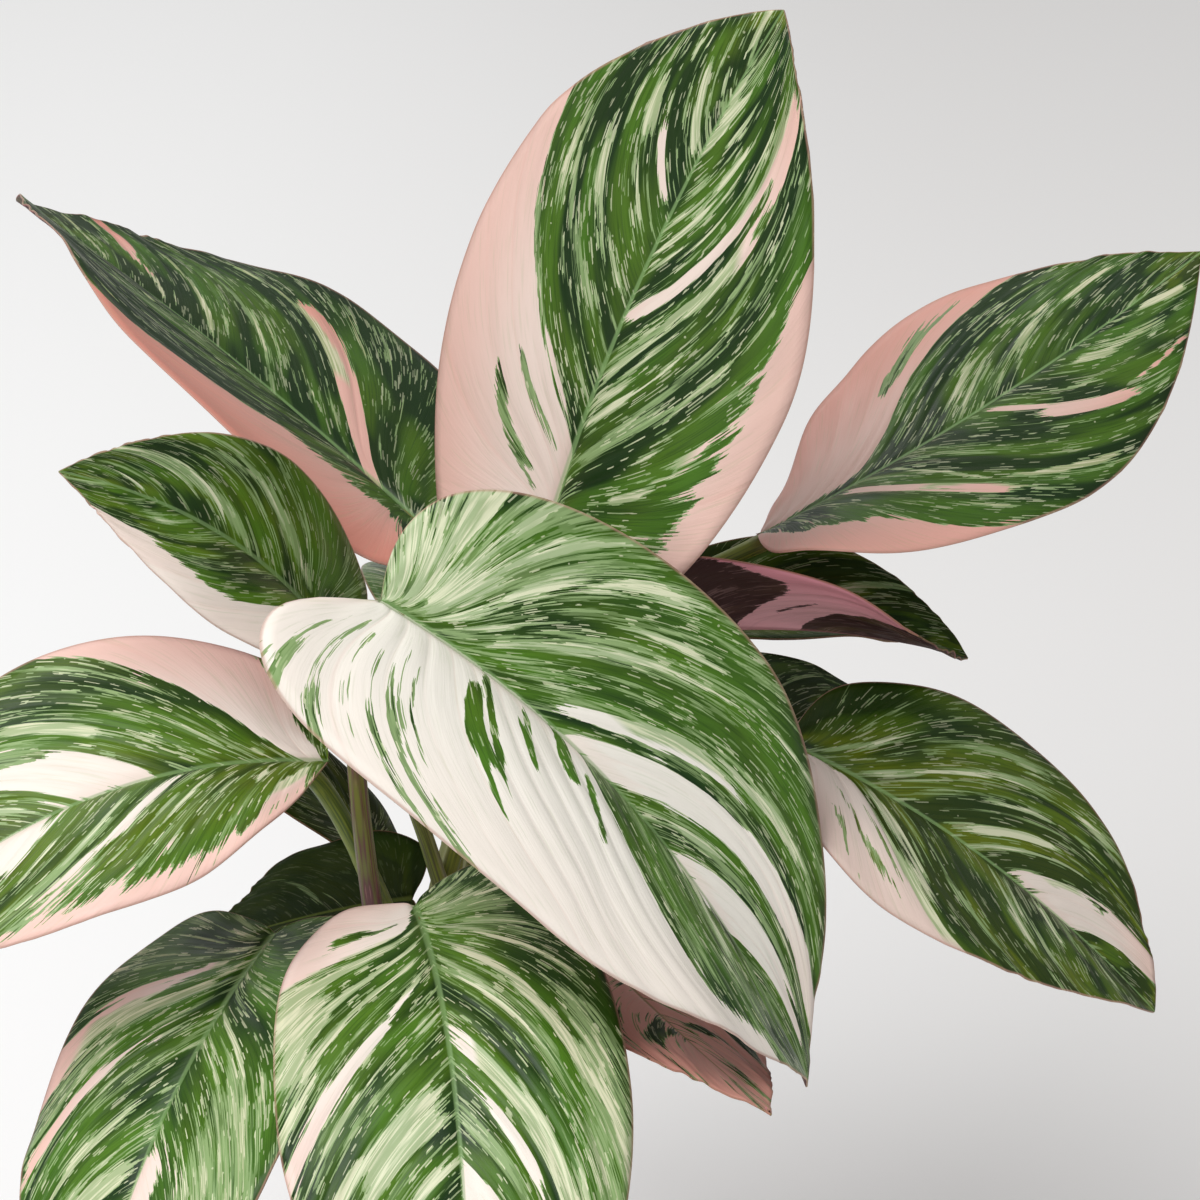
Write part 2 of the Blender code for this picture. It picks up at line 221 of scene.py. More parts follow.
def blade_places(leaf, u, v):
    """Points of the blade, v from -1 to 1 across it, and how far each is from the midrib."""
    left_along, left_across = margin(leaf, u, -1)
    right_along, right_across = margin(leaf, u, 1)
    edge_along = np.where(v > 0, right_along, left_along)
    edge_across = np.where(v > 0, right_across, left_across)
    start = leaf.length * u ** VEIN_CROWDING
    along = start + (edge_along - start) * np.abs(v) ** VEIN_SWING
    return bend(leaf, along, edge_across * v), np.abs(edge_across * v)


# %% [markdown]
# ## Cells that follow the side veins
# The side veins leave the midrib at a low angle and sweep forward to the margin, and both the
# pleats and the painted strokes follow them. If the rows of the mesh follow them too, a pleat is
# clean and a stroke needs only two numbers: which vein it is on (`vein`, 0 to 1 along the
# midrib) and how far out it is (`side`, -1 to 1). Both are kept on the mesh, and as its UV map.
# In a deep lobe the first veins bow round the lobe on their way out (`basal`).

# %% The blade as a fine sheet
SWEEP_START = 7.0           # how soon from the base the veins sweep forward in full
VEIN_BOW = 0.9              # how they curve on their way out
BASAL_SWEEP = 0.7           # in a deep lobe the first ones sweep forward sooner
BASAL_BOW = 1.1             # and curve more
BASAL_FADE = 10             # how soon along the midrib that ends
BASE_CROWDING = 1.6         # closer rows near the base, where the outline turns fast
MIDRIB_CROWDING = 1.5       # closer columns near the midrib, for its channel
FINE_CELLS = (200, 48)      # rows along and columns across, on the long leaves
SMALL_CELLS = (140, 36)
LONG_LEAF = 112.0           # millimetres
VEIN_STEPS = 9              # places at which the way out along a vein is measured
NUDGE = 0.004               # a short step on the vein map, to measure slopes with
TINY = 1e-6                 # keeps a quotient and a logarithm finite
NARROW_SPREAD = 60.0        # millimetres for the whole run of veins, where they are closest
SPREAD_LEVELS = 4           # each is for veins twice as far apart as the one before
PLEAT_ROOM = (25, 80)       # spreads between which the pleats grow to their full height
PLEATS_PER_CM = 1.3
PLEAT_SHAPE = 0.7           # under 1 the crests are broad and the furrows narrow
RIB_FREE = (0.02, 0.2)      # how far out the pleats begin, and have their full height


def margin_share(leaf, vein, side):
    """Where on the flat outline the row of one vein is, at that distance out."""
    (left_sweep, left_lean), (right_sweep, right_lean) = leaf.veins
    sweep = np.where(side > 0, right_sweep, left_sweep)
    lean = np.where(side > 0, right_lean, left_lean)
    basal = np.where(side > 0, leaf.basal[1], leaf.basal[0])
    swing = sweep * (1 - vein) ** lean * (1 - (1 - vein) ** SWEEP_START) ** (1 - BASAL_SWEEP * basal)
    bow = VEIN_BOW + BASAL_BOW * basal * (1 - vein) ** BASAL_FADE
    return np.clip(vein + swing * np.abs(side) ** bow, 0, 1)


def pleat_count(leaf):
    return round(leaf.length / 10 * PLEATS_PER_CM)


def smooth_step(low, high, value):
    share = np.clip((value - low) / (high - low), 0, 1)
    return share * share * (3 - 2 * share)


def store(mesh, name, values):
    """Keeps one number, or one triple, for each point of a mesh."""
    kind = 'FLOAT' if values.ndim == 1 else 'FLOAT_VECTOR'
    layer = mesh.attributes.new(name, kind, 'POINT')
    layer.data.foreach_set("value" if values.ndim == 1 else "vector", values.astype(np.float32).ravel())


def read(mesh, name):
    values = np.zeros(len(mesh.vertices), np.float32)
    mesh.attributes[name].data.foreach_get("value", values)
    return values


def vein_facts(leaf, vein, side):
    """Millimetres out along the vein, doublings of the veins' spread, and room for pleats."""
    steps = [blade_places(leaf, margin_share(leaf, vein, side * step), side * step)[0]
             for step in np.linspace(0, 1, VEIN_STEPS)]
    travel = sum(np.linalg.norm(after - before, axis=-1) for before, after in zip(steps, steps[1:]))
    inner = side - NUDGE * np.where(side < 0, -1, 1)
    low, high = np.clip(vein - NUDGE, 0, 1), np.clip(vein + NUDGE, 0, 1)
    across = (blade_places(leaf, margin_share(leaf, high, side), side)[0]
              - blade_places(leaf, margin_share(leaf, low, side), side)[0]) / (high - low)[:, None]
    outward = steps[-1] - blade_places(leaf, margin_share(leaf, vein, inner), inner)[0]
    spread = np.linalg.norm(np.cross(across, outward), axis=-1) / (np.linalg.norm(outward, axis=-1) + TINY)
    doubled = np.clip(np.log2(spread / NARROW_SPREAD + TINY), 0, SPREAD_LEVELS - 1)
    return travel, doubled, smooth_step(*PLEAT_ROOM, spread)


def leaf_sheet(leaf, seed):
    """A sheet of cells in the blade's place. Its points keep what the trees and skins below read."""
    rows, columns = FINE_CELLS if leaf.length > LONG_LEAF else SMALL_CELLS
    bm = bmesh.new()
    bmesh.ops.create_grid(bm, x_segments=rows, y_segments=columns, size=1.0)
    flat = np.array([vert.co[:2] for vert in bm.verts])
    vein = np.clip((flat[:, 0] + 1) / 2, 0, 1) ** BASE_CROWDING
    side = -np.sign(flat[:, 1]) * np.abs(flat[:, 1]) ** MIDRIB_CROWDING
    places, from_rib = blade_places(leaf, margin_share(leaf, vein, side), side)
    layers = [bm.verts.layers.float.new(name) for name in ("vein", "side", "rib_mm")]
    for vert, place, *values in zip(bm.verts, places * MM, vein, side, from_rib):
        vert.co = place
        for layer, value in zip(layers, values):
            vert[layer] = value
    uv = bm.loops.layers.uv.new("vein_map")
    for face in bm.faces:
        for loop in face.loops:
            loop[uv].uv = (loop.vert[layers[0]], 0.5 + 0.5 * loop.vert[layers[1]])
    bmesh.ops.remove_doubles(bm, verts=bm.verts, dist=MERGE)
    sheet = bpy.data.meshes.new(leaf.name + "_sheet")
    bm.to_mesh(sheet)
    bm.free()
    sheet.shade_smooth()
    vein, side = read(sheet, "vein"), read(sheet, "side")
    travel, doubled, room = vein_facts(leaf, vein, side)
    store(sheet, "files", np.stack([travel, doubled, seed + 0 * vein], -1))
    store(sheet, "outline", margin_share(leaf, vein, side))
    store(sheet, "room", room)
    # The crest share is kept for the skins, which paint light on the pleats' crests and shade in their
    # furrows.
    crest = np.abs(np.sin(np.pi * vein * pleat_count(leaf))) ** PLEAT_SHAPE
    store(sheet, "crest", crest * room * smooth_step(*RIB_FREE, np.abs(side)))
    return sheet


# %% [markdown]
# ## The paint of the leaves
# A mutation leaves some cells of this plant without green. They grow in files along the veins,
# so the pale parts are long strokes with frayed ends. Here a stroke is a strip between two
# points of the vein map: side, from and to across the half, the vein at either end, half its
# width, and a level: under 0.4 is green, up to 0.6 is a veil of sage, above that is cream, and the
# higher it is, the cleaner its edge. A fine noise in the material frays it. The strokes were
# placed leaf by leaf, next to the photograph. Only four in the right half of the front
# leaf were moved by a calculation, when the run of its veins changed.

# %% Strokes and tones of each leaf
@dataclass
class Paint:
    """How one leaf is coloured; shares from 0 to 1."""
    ground: float = 0.30    # level between the strokes
    veil: float = 0.36      # how much sage there is between them
    strokes: tuple = ()
    blush: float = 0.15     # pink in the pale parts, near the midrib
    edge_blush: float = 0.5  # and at the margin
    olive: float = 0.2      # green that turns to olive and yellow
    dim: float = 0.0        # darker all over: a deeper green, and painted shade on the leaves deep in the plant
    flecks: float = 0.6     # how many fine dashes there are


L, R = -1, 1
PAINT = {
    "front": Paint(ground=0.29, veil=0.53, blush=0.0, edge_blush=0.08, flecks=1.0, strokes=(
        (L, 0.10, 1.1, 0.040, 0.040, 0.050, 0.42), (L, 0.10, 1.1, 0.012, 0.012, 0.002, 0.9),
        (L, 0.05, 1.1, 0.022, 0.022, 0.0025, 0.9), (L, 0.20, 1.1, 0.034, 0.033, 0.002, 0.85),
        (L, 0.10, 1.1, 0.046, 0.044, 0.003, 0.9), (L, 0.20, 0.95, 0.062, 0.057, 0.003, 0.8),
        (L, 0.15, 0.90, 0.078, 0.076, 0.003, 0.8), (L, 0.10, 0.95, 0.100, 0.098, 0.006, 0.75),
        (L, 0.15, 0.80, 0.130, 0.135, 0.004, 0.7), (L, 0.12, 0.92, 0.180, 0.160, 0.010, 0.47),
        (L, 0.15, 0.70, 0.182, 0.170, 0.003, 0.8), (L, 0.12, 0.55, 0.350, 0.315, 0.026, 1.0),
        (L, 0.45, 0.85, 0.305, 0.255, 0.012, 0.85), (L, 0.18, 0.55, 0.400, 0.390, 0.010, 0.5),
        (L, 0.0, 0.60, 0.468, 0.462, 0.050, 1.3), (L, 0.5, 1.1, 0.465, 0.365, 0.048, 1.3),
        (L, 0.0, 0.75, 0.710, 0.700, 0.066, 1.2), (L, 0.6, 0.85, 0.680, 0.660, 0.016, 0.1),
        (L, 0.3, 0.8, 0.555, 0.530, 0.008, 0.7), (L, 0.02, 0.3, 0.575, 0.575, 0.010, 0.7),
        (R, 0.0, 1.1, 0.225, 0.225, 0.225, 1.7), (R, 0.86, 1.2, 0.45, 0.50, 0.10, 1.2),
        (R, 0.17, 0.55, 0.231, 0.203, 0.024, -0.2), (R, 0.0, 0.20, 0.262, 0.236, 0.012, 0.47),
        (R, 0.20, 0.50, 0.236, 0.217, 0.004, 1.3), (R, 0.50, 0.75, 0.201, 0.182, 0.005, 0.2),
        (R, 0.50, 0.72, 0.219, 0.203, 0.004, 0.3), (R, 0.02, 0.38, 0.335, 0.292, 0.010, 0.44),
        (R, 0.15, 0.40, 0.300, 0.291, 0.005, 0.0), (R, 0.02, 0.28, 0.405, 0.372, 0.016, -0.2),
        (R, 0.05, 0.48, 0.450, 0.372, 0.013, 0.44), (R, 0.20, 0.42, 0.420, 0.385, 0.005, 0.0),
        (R, 0.42, 1.2, 0.060, 0.048, 0.050, 0.55), (R, 0.20, 1.2, 0.028, 0.022, 0.005, 1.2),
        (R, 0.20, 1.2, 0.050, 0.040, 0.006, 1.1), (R, 0.20, 1.1, 0.072, 0.060, 0.006, 1.2),
        (R, 0.20, 1.1, 0.091, 0.080, 0.004, 1.1), (R, 0.30, 0.95, 0.110, 0.100, 0.005, 0.52),
        (R, 0.35, 0.85, 0.128, 0.112, 0.005, 0.50), (R, 0.0, 0.12, 0.675, 0.665, 0.040, 1.1),
        (R, 0.12, 0.50, 0.662, 0.645, 0.010, 0.8), (R, 0.50, 0.68, 0.600, 0.630, 0.010, 0.75))),
    "tall": Paint(ground=0.33, veil=0.38, blush=0.25, edge_blush=0.55, dim=0.18, flecks=1.0, strokes=(
        (L, 0.0, 1.1, 0.145, 0.100, 0.135, 1.7), (L, 0.18, 0.64, 0.110, 0.147, 0.020, 0.55),
        (L, 0.22, 0.52, 0.206, 0.196, 0.012, 0.55), (L, 0.06, 0.32, 0.222, 0.205, 0.014, 0.45),
        (L, 0.10, 0.80, 0.305, 0.245, 0.010, 0.5), (L, 0.12, 0.72, 0.478, 0.375, 0.012, 0.75),
        (L, 0.20, 0.65, 0.450, 0.395, 0.016, 0.5), (L, 0.25, 0.62, 0.515, 0.500, 0.015, 0.72),
        (L, 0.05, 0.30, 0.545, 0.535, 0.007, 0.75), (L, 0.48, 0.72, 0.645, 0.640, 0.020, 0.95),
        (L, 0.12, 0.40, 0.628, 0.622, 0.006, 0.85), (L, 0.08, 0.45, 0.695, 0.690, 0.010, 1.0),
        (L, 0.10, 0.60, 0.778, 0.786, 0.010, 0.85), (L, 0.20, 0.45, 0.850, 0.850, 0.007, 0.85),
        (L, 0.45, 1.1, 0.905, 0.925, 0.012, 0.95), (L, 0.60, 0.85, 0.560, 0.560, 0.010, 0.72),
        (R, 0.40, 0.70, 0.105, 0.128, 0.008, 0.85), (R, 0.86, 1.2, 0.110, 0.150, 0.060, 1.8),
        (R, 0.08, 0.50, 0.220, 0.240, 0.026, 0.5), (R, 0.05, 0.25, 0.315, 0.310, 0.010, 0.85),
        (R, 0.05, 0.22, 0.345, 0.345, 0.007, 0.85), (R, 0.05, 0.28, 0.412, 0.422, 0.012, 0.95),
        (R, 0.25, 0.62, 0.428, 0.412, 0.018, 0.90), (R, 0.15, 0.40, 0.385, 0.385, 0.009, 0.8),
        (R, 0.50, 0.82, 0.400, 0.355, 0.010, 0.78), (R, 0.04, 0.80, 0.520, 0.478, 0.017, 1.2),
        (R, 0.76, 0.92, 0.430, 0.420, 0.050, 1.4), (R, 0.70, 0.86, 0.520, 0.505, 0.016, 0.85),
        (R, 0.02, 0.28, 0.630, 0.636, 0.007, 0.90), (R, 0.04, 0.20, 0.598, 0.595, 0.007, 0.85),
        (R, 0.30, 0.60, 0.668, 0.650, 0.010, 0.75), (R, 0.02, 0.22, 0.672, 0.676, 0.005, 0.8),
        (R, 0.30, 0.55, 0.746, 0.735, 0.009, 0.78), (R, 0.72, 0.86, 0.645, 0.640, 0.012, 0.8),
        (R, 0.0, 0.22, 0.845, 0.835, 0.052, 0.78), (R, 0.10, 0.42, 0.825, 0.806, 0.012, 0.9),
        (R, 0.20, 0.75, 0.580, 0.560, 0.005, 0.72))),
    "upper_left": Paint(ground=0.23, veil=0.30, blush=0.7, edge_blush=1.0, olive=0.25, dim=0.28, strokes=(
        (L, 0.45, 1.1, 0.105, 0.095, 0.060, 1.5), (L, 0.10, 0.70, 0.650, 0.430, 0.004, 0.75),
        (L, 0.15, 0.45, 0.430, 0.330, 0.005, 0.72), (L, 0.10, 0.50, 0.560, 0.420, 0.004, 0.7),
        (R, 0.0, 0.75, 0.178, 0.212, 0.026, 1.3), (R, 0.62, 0.88, 0.235, 0.265, 0.012, 0.75),
        (R, 0.60, 0.92, 0.135, 0.145, 0.005, 0.75), (R, 0.15, 0.60, 0.430, 0.478, 0.010, 0.52),
        (R, 0.75, 1.1, 0.480, 0.400, 0.010, 0.72), (R, 0.10, 0.65, 0.575, 0.615, 0.005, 0.78),
        (R, 0.05, 0.50, 0.680, 0.730, 0.009, 0.8), (R, 0.45, 1.1, 0.726, 0.712, 0.017, 1.0),
        (R, 0.05, 0.50, 0.805, 0.838, 0.007, 0.9), (R, 0.45, 0.95, 0.838, 0.825, 0.005, 0.85),
        (R, 0.05, 0.30, 0.285, 0.340, 0.005, 0.62))),
    "mid_left": Paint(ground=0.25, veil=0.44, blush=0.06, edge_blush=0.15, olive=0.4, strokes=(
        (L, 0.72, 1.2, 0.300, 0.350, 0.230, 1.5), (L, 0.42, 1.1, 0.130, 0.150, 0.055, 1.3),
        (L, 0.25, 0.40, 0.700, 0.680, 0.060, 0.5), (R, 0.20, 0.80, 0.160, 0.290, 0.030, 0.52),
        (R, 0.02, 0.50, 0.450, 0.560, 0.036, 0.56), (R, 0.40, 1.1, 0.565, 0.560, 0.034, 0.58),
        (R, 0.10, 1.0, 0.545, 0.500, 0.006, 0.8), (R, 0.12, 0.95, 0.790, 0.745, 0.014, 0.66),
        (R, 0.20, 0.90, 0.600, 0.600, 0.005, 0.75))),
    "upper_right": Paint(ground=0.26, veil=0.28, blush=0.5, edge_blush=0.8, dim=0.24, flecks=0.8, strokes=(
        (L, 0.12, 1.1, 0.120, 0.100, 0.125, 1.6), (L, 0.60, 0.98, 0.180, 0.185, 0.022, 0.5),
        (L, 0.22, 0.50, 0.475, 0.425, 0.010, 0.78), (L, 0.55, 0.80, 0.395, 0.390, 0.008, 0.7),
        (L, 0.08, 0.30, 0.512, 0.505, 0.006, 0.72), (L, 0.22, 0.68, 0.600, 0.550, 0.022, 0.66),
        (L, 0.62, 0.85, 0.610, 0.625, 0.015, 0.9), (L, 0.02, 0.25, 0.568, 0.580, 0.005, 0.75),
        (R, 0.68, 1.2, 0.060, 0.080, 0.062, 1.6), (R, 0.12, 0.75, 0.215, 0.215, 0.012, 1.0),
        (R, 0.65, 0.95, 0.260, 0.310, 0.010, 0.9), (R, 0.10, 0.60, 0.320, 0.250, 0.004, 0.75),
        (R, 0.08, 0.40, 0.552, 0.545, 0.009, 1.0), (R, 0.35, 0.75, 0.530, 0.524, 0.024, 1.2),
        (R, 0.70, 0.95, 0.560, 0.630, 0.012, 1.0), (R, 0.18, 0.45, 0.700, 0.710, 0.016, 0.95),
        (R, 0.25, 0.80, 0.845, 0.830, 0.015, 0.9), (R, 0.15, 0.30, 0.750, 0.750, 0.008, 0.8))),
    "left": Paint(ground=0.31, veil=0.40, blush=0.10, edge_blush=0.55, olive=0.5, flecks=1.0, strokes=(
        (L, 0.50, 0.85, 0.045, 0.050, 0.018, 0.95), (L, 0.88, 1.2, 0.200, 0.200, 0.170, 1.0),
        (L, 0.15, 0.42, 0.130, 0.105, 0.008, 0.75), (L, 0.05, 0.50, 0.262, 0.236, 0.006, 0.78),
        (L, 0.05, 0.50, 0.356, 0.350, 0.015, 1.0), (L, 0.10, 0.55, 0.436, 0.420, 0.008, 0.9),
        (L, 0.30, 0.60, 0.520, 0.510, 0.008, 0.7), (L, 0.0, 0.42, 0.650, 0.630, 0.053, 1.4),
        (L, 0.55, 0.95, 0.380, 0.340, 0.060, 0.48), (R, 0.02, 1.2, 0.050, 0.108, 0.036, 1.6),
        (R, 0.40, 0.70, 0.316, 0.290, 0.019, 0.98), (R, 0.03, 0.40, 0.475, 0.460, 0.070, 1.5),
        (R, 0.35, 0.62, 0.440, 0.420, 0.050, 0.58), (R, 0.08, 0.25, 0.600, 0.595, 0.006, 0.8),
        (R, 0.10, 0.45, 0.205, 0.198, 0.006, 0.68))),
    "lower_left": Paint(ground=0.33, veil=0.42, blush=0.25, edge_blush=0.6, olive=0.15, flecks=1.0, strokes=(
        (L, 0.05, 0.32, 0.200, 0.216, 0.005, 0.85), (L, 0.05, 0.85, 0.280, 0.310, 0.006, 0.85),
        (L, 0.35, 1.1, 0.420, 0.380, 0.120, 0.47), (L, 0.0, 0.20, 0.620, 0.600, 0.050, 1.2),
        (R, 0.25, 0.60, 0.100, 0.130, 0.008, 0.95), (R, 0.55, 1.1, 0.125, 0.142, 0.016, 1.2),
        (R, 0.20, 0.62, 0.166, 0.155, 0.010, 0.95), (R, 0.18, 0.55, 0.235, 0.250, 0.006, 0.85),
        (R, 0.50, 1.0, 0.250, 0.225, 0.015, 1.0), (R, 0.55, 0.95, 0.190, 0.185, 0.018, 0.5),
        (R, 0.20, 0.70, 0.440, 0.440, 0.030, 0.62), (R, 0.05, 0.5, 0.590, 0.585, 0.026, 0.8))),
    "bottom": Paint(ground=0.34, veil=0.40, blush=0.08, edge_blush=0.35, flecks=1.0, strokes=(
        (L, 0.15, 0.70, 0.070, 0.080, 0.050, 0.47), (L, 0.72, 1.2, 0.250, 0.300, 0.140, 0.5),
        (L, 0.12, 0.75, 0.160, 0.200, 0.012, 0.9), (L, 0.05, 0.65, 0.235, 0.245, 0.026, 0.52),
        (L, 0.03, 0.40, 0.400, 0.405, 0.022, 1.1), (L, 0.35, 0.80, 0.390, 0.420, 0.035, 0.85),
        (L, 0.22, 0.50, 0.475, 0.480, 0.017, 1.0), (L, 0.02, 0.60, 0.535, 0.530, 0.023, 0.52),
        (L, 0.0, 0.30, 0.660, 0.650, 0.038, 1.3), (L, 0.0, 0.60, 0.499, 0.505, 0.007, 0.1),
        (R, 0.74, 1.2, 0.160, 0.260, 0.130, 0.64), (R, 0.22, 1.2, 0.040, 0.050, 0.050, 1.4),
        (R, 0.55, 0.85, 0.070, 0.076, 0.011, 0.4), (R, 0.30, 0.60, 0.064, 0.072, 0.006, 0.45),
        (R, 0.10, 1.0, 0.110, 0.125, 0.008, 0.78), (R, 0.15, 1.0, 0.155, 0.165, 0.006, 0.75),
        (R, 0.10, 0.9, 0.195, 0.205, 0.006, 0.75), (R, 0.10, 0.40, 0.240, 0.285, 0.008, 0.9),
        (R, 0.35, 1.2, 0.285, 0.276, 0.014, 1.1), (R, 0.10, 1.0, 0.345, 0.340, 0.005, 0.75),
        (R, 0.0, 0.7, 0.425, 0.420, 0.020, 0.1), (R, 0.08, 0.60, 0.510, 0.490, 0.038, 0.95),
        (R, 0.60, 0.90, 0.450, 0.440, 0.018, 0.9), (R, 0.1, 0.4, 0.605, 0.600, 0.010, 0.85))),
    "lower_right": Paint(ground=0.26, veil=0.34, edge_blush=0.35, olive=0.8, dim=0.28, strokes=(
        (L, 0.12, 0.90, 0.090, 0.165, 0.010, 0.5), (L, 0.05, 0.80, 0.236, 0.215, 0.015, 0.54),
        (L, 0.10, 0.60, 0.270, 0.265, 0.007, 0.55), (L, 0.35, 0.62, 0.356, 0.330, 0.010, 0.8),
        (L, 0.08, 0.80, 0.400, 0.385, 0.006, 0.56), (L, 0.08, 0.50, 0.475, 0.475, 0.019, 0.85),
        (L, 0.12, 0.55, 0.545, 0.540, 0.007, 0.78), (L, 0.04, 0.50, 0.655, 0.655, 0.024, 1.1),
        (L, 0.40, 0.90, 0.640, 0.600, 0.006, 0.78), (L, 0.0, 0.80, 0.745, 0.730, 0.050, 1.5),
        (L, 0.60, 1.2, 0.720, 0.700, 0.080, 1.5), (R, 0.18, 1.2, 0.115, 0.140, 0.070, 1.4),
        (R, 0.15, 0.75, 0.230, 0.235, 0.028, 0.72), (R, 0.40, 0.90, 0.105, 0.150, 0.012, 0.5),
        (R, 0.35, 0.80, 0.150, 0.170, 0.009, 0.5), (R, 0.60, 1.0, 0.085, 0.105, 0.008, 0.5),
        (R, 0.10, 0.70, 0.200, 0.200, 0.004, 0.5), (R, 0.08, 0.65, 0.575, 0.570, 0.005, 0.85),
        (R, 0.45, 0.68, 0.555, 0.560, 0.014, 0.85), (R, 0.10, 0.50, 0.610, 0.600, 0.004, 0.75),
        (R, 0.10, 0.60, 0.690, 0.700, 0.009, 0.66), (R, 0.30, 0.80, 0.820, 0.810, 0.012, 0.68))),
    "right_folded": Paint(ground=0.18, veil=0.2, blush=0.5, edge_blush=0.9, olive=0.7, dim=0.32, strokes=(
        (L, 0.1, 1.1, 0.60, 0.45, 0.03, 0.5), (L, 0.1, 0.9, 0.34, 0.30, 0.006, 0.8),
        (L, 0.1, 0.7, 0.20, 0.22, 0.005, 0.8), (L, 0.2, 0.9, 0.47, 0.42, 0.004, 0.75),
        (R, -0.05, 1.1, 0.50, 0.14, 0.085, 1.5), (R, 0.2, 0.6, 0.40, 0.28, 0.012, 0.5))),
    "right_small": Paint(ground=0.22, veil=0.2, blush=0.7, edge_blush=0.9, olive=0.7, dim=0.5, strokes=(
        (L, 0.1, 1.1, 0.40, 0.36, 0.12, 1.0), (R, 0.3, 1.1, 0.45, 0.40, 0.1, 0.9))),
    "under_front": Paint(ground=0.80, blush=0.75, edge_blush=0.85, olive=0.5, dim=0.35, strokes=(
        (L, 0.4, 0.9, 0.35, 0.30, 0.08, 0.2), (L, 0.2, 0.6, 0.62, 0.52, 0.02, 0.2),
        (R, 0.1, 0.6, 0.68, 0.60, 0.03, 0.4))),
    "right_dark": Paint(ground=0.24, veil=0.3, olive=0.8, dim=0.5, blush=0.4, strokes=(
        (L, 0.1, 0.9, 0.45, 0.40, 0.02, 0.55), (R, 0.1, 0.9, 0.35, 0.40, 0.02, 0.52))),
    "crown_dark": Paint(
        ground=0.22, veil=0.2, olive=0.9, dim=0.72, blush=0.5, edge_blush=1.0, flecks=0.2, strokes=(
        (R, 0.1, 0.9, 0.5, 0.4, 0.02, 0.45),)),
    "crown_olive": Paint(ground=0.25, veil=0.2, olive=1.0, dim=0.45, blush=0.9, edge_blush=1.0, strokes=(
        (R, 0.3, 1.1, 0.4, 0.4, 0.08, 0.9),)),
    "back": Paint(ground=0.33, strokes=(
        (L, 0.1, 1.1, 0.25, 0.25, 0.08, 0.95), (R, 0.1, 0.9, 0.50, 0.45, 0.03, 0.9),
        (R, 0.6, 1.1, 0.15, 0.2, 0.07, 1.0), (L, 0.1, 0.8, 0.55, 0.5, 0.02, 0.6))),
    "back_left": Paint(ground=0.30, edge_blush=0.8, olive=0.3, strokes=(
        (R, 0.2, 1.1, 0.20, 0.25, 0.09, 1.0), (L, 0.1, 0.9, 0.45, 0.4, 0.03, 0.8))),
    "back_right": Paint(ground=0.34, edge_blush=0.6, olive=0.4, strokes=(
        (L, 0.3, 1.1, 0.15, 0.2, 0.08, 1.0), (R, 0.05, 0.9, 0.4, 0.4, 0.03, 0.6),
        (L, 0.1, 0.7, 0.6, 0.5, 0.02, 0.9))),
}


# %% Paint put on a sheet
SOFT_VEIN = (0.004, 0.3)    # how softly a stroke ends across the veins: least, and share of its width
SOFT_SIDE = 0.10            # and along them
GREEN_TOP = 0.4
SAGE_TOP = 0.6
PATCH = 1.0                 # from here on a stroke is a broad patch, and not a yellowish streak
VEILED_CREAM = 0.50
VEIL_GAIN = 0.25            # a veil's edge is softer, so it needs a higher level
SOFT_WIDTH = 0.04           # the sides of a wider stroke are no softer than this one's
MIDRIB_SHARE = 0.002        # a stroke runs this far over the midrib, and so leaves no seam
BLUSH_ROOM = (0.35, 1.0)    # how far out the pink of the middle turns to that of the margin
OLIVE_TIP = (0.84, 1.0)     # where the tip turns olive
TIP_SLANT = 0.08            # sooner near the margin


def paint_sheet(sheet, leaf):
    """Keeps `marking` (cream, sage, pink) and `tone` (dim, olive, flecks) on the points."""
    paint = PAINT[leaf.name]
    vein, side = read(sheet, "vein"), read(sheet, "side")
    out = np.abs(side)
    cream = np.full(len(vein), paint.ground)
    sage = np.full(len(vein), paint.veil)
    streaky = np.full(len(vein), 1.0 if paint.ground < SAGE_TOP else 0.0)
    for half, near, far, near_vein, far_vein, width, amount in paint.strokes:
        away = np.abs(vein - near_vein - (far_vein - near_vein) * (out - near) / (far - near))
        soft = SOFT_VEIN[0] + SOFT_VEIN[1] * min(width, SOFT_WIDTH)
        around = (away < width + 2 * soft) * (out > near - 2 * SOFT_SIDE) * (out < far + 2 * SOFT_SIDE)
        on_half = side * half > -MIDRIB_SHARE
        if amount > SAGE_TOP:
            streaky[around * on_half] = 1.0 if amount < PATCH else 0.0
        inside = 1 - smooth_step(width - soft, width + soft, away)
        inside *= smooth_step(near - SOFT_SIDE, near + SOFT_SIDE, out)
        inside *= 1 - smooth_step(far - SOFT_SIDE, far + SOFT_SIDE, out)
        inside *= on_half
        if amount <= GREEN_TOP or amount > SAGE_TOP:
            cream += (amount - cream) * inside
        if amount <= GREEN_TOP:
            sage += (amount - sage) * inside
        elif amount <= SAGE_TOP:
            sage += (amount + VEIL_GAIN - sage) * inside
            cream += (VEILED_CREAM - cream) * inside
    pink = paint.blush + (paint.edge_blush - paint.blush) * smooth_step(*BLUSH_ROOM, out)
    olive = paint.olive + (1 - paint.olive) * smooth_step(*OLIVE_TIP, vein + TIP_SLANT * out)
    store(sheet, "marking", np.stack([cream, sage, pink], -1))
    store(sheet, "tone", np.stack([paint.dim + 0 * vein, olive, paint.flecks + 0 * vein], -1))
    store(sheet, "streaky", streaky)


# %% [markdown]
# ## Helpers for node trees
# Both the geometry and the material trees below are long sums of small nodes. These helpers add
# a node, join its inputs and return its output, so that a tree reads as a formula does.

# %% Node helpers
def join(tree, socket, value):
    """Links an output to a socket, or sets a constant on it."""
    if isinstance(value, bpy.types.NodeSocket):
        tree.links.new(value, socket)
    else:
        socket.default_value = value


def calc(tree, operation, *values):
    """One step of arithmetic on numbers."""
    node = tree.nodes.new('ShaderNodeMath')
    node.operation = operation
    for socket, value in zip(node.inputs, values):
        join(tree, socket, value)
    return node.outputs[0]


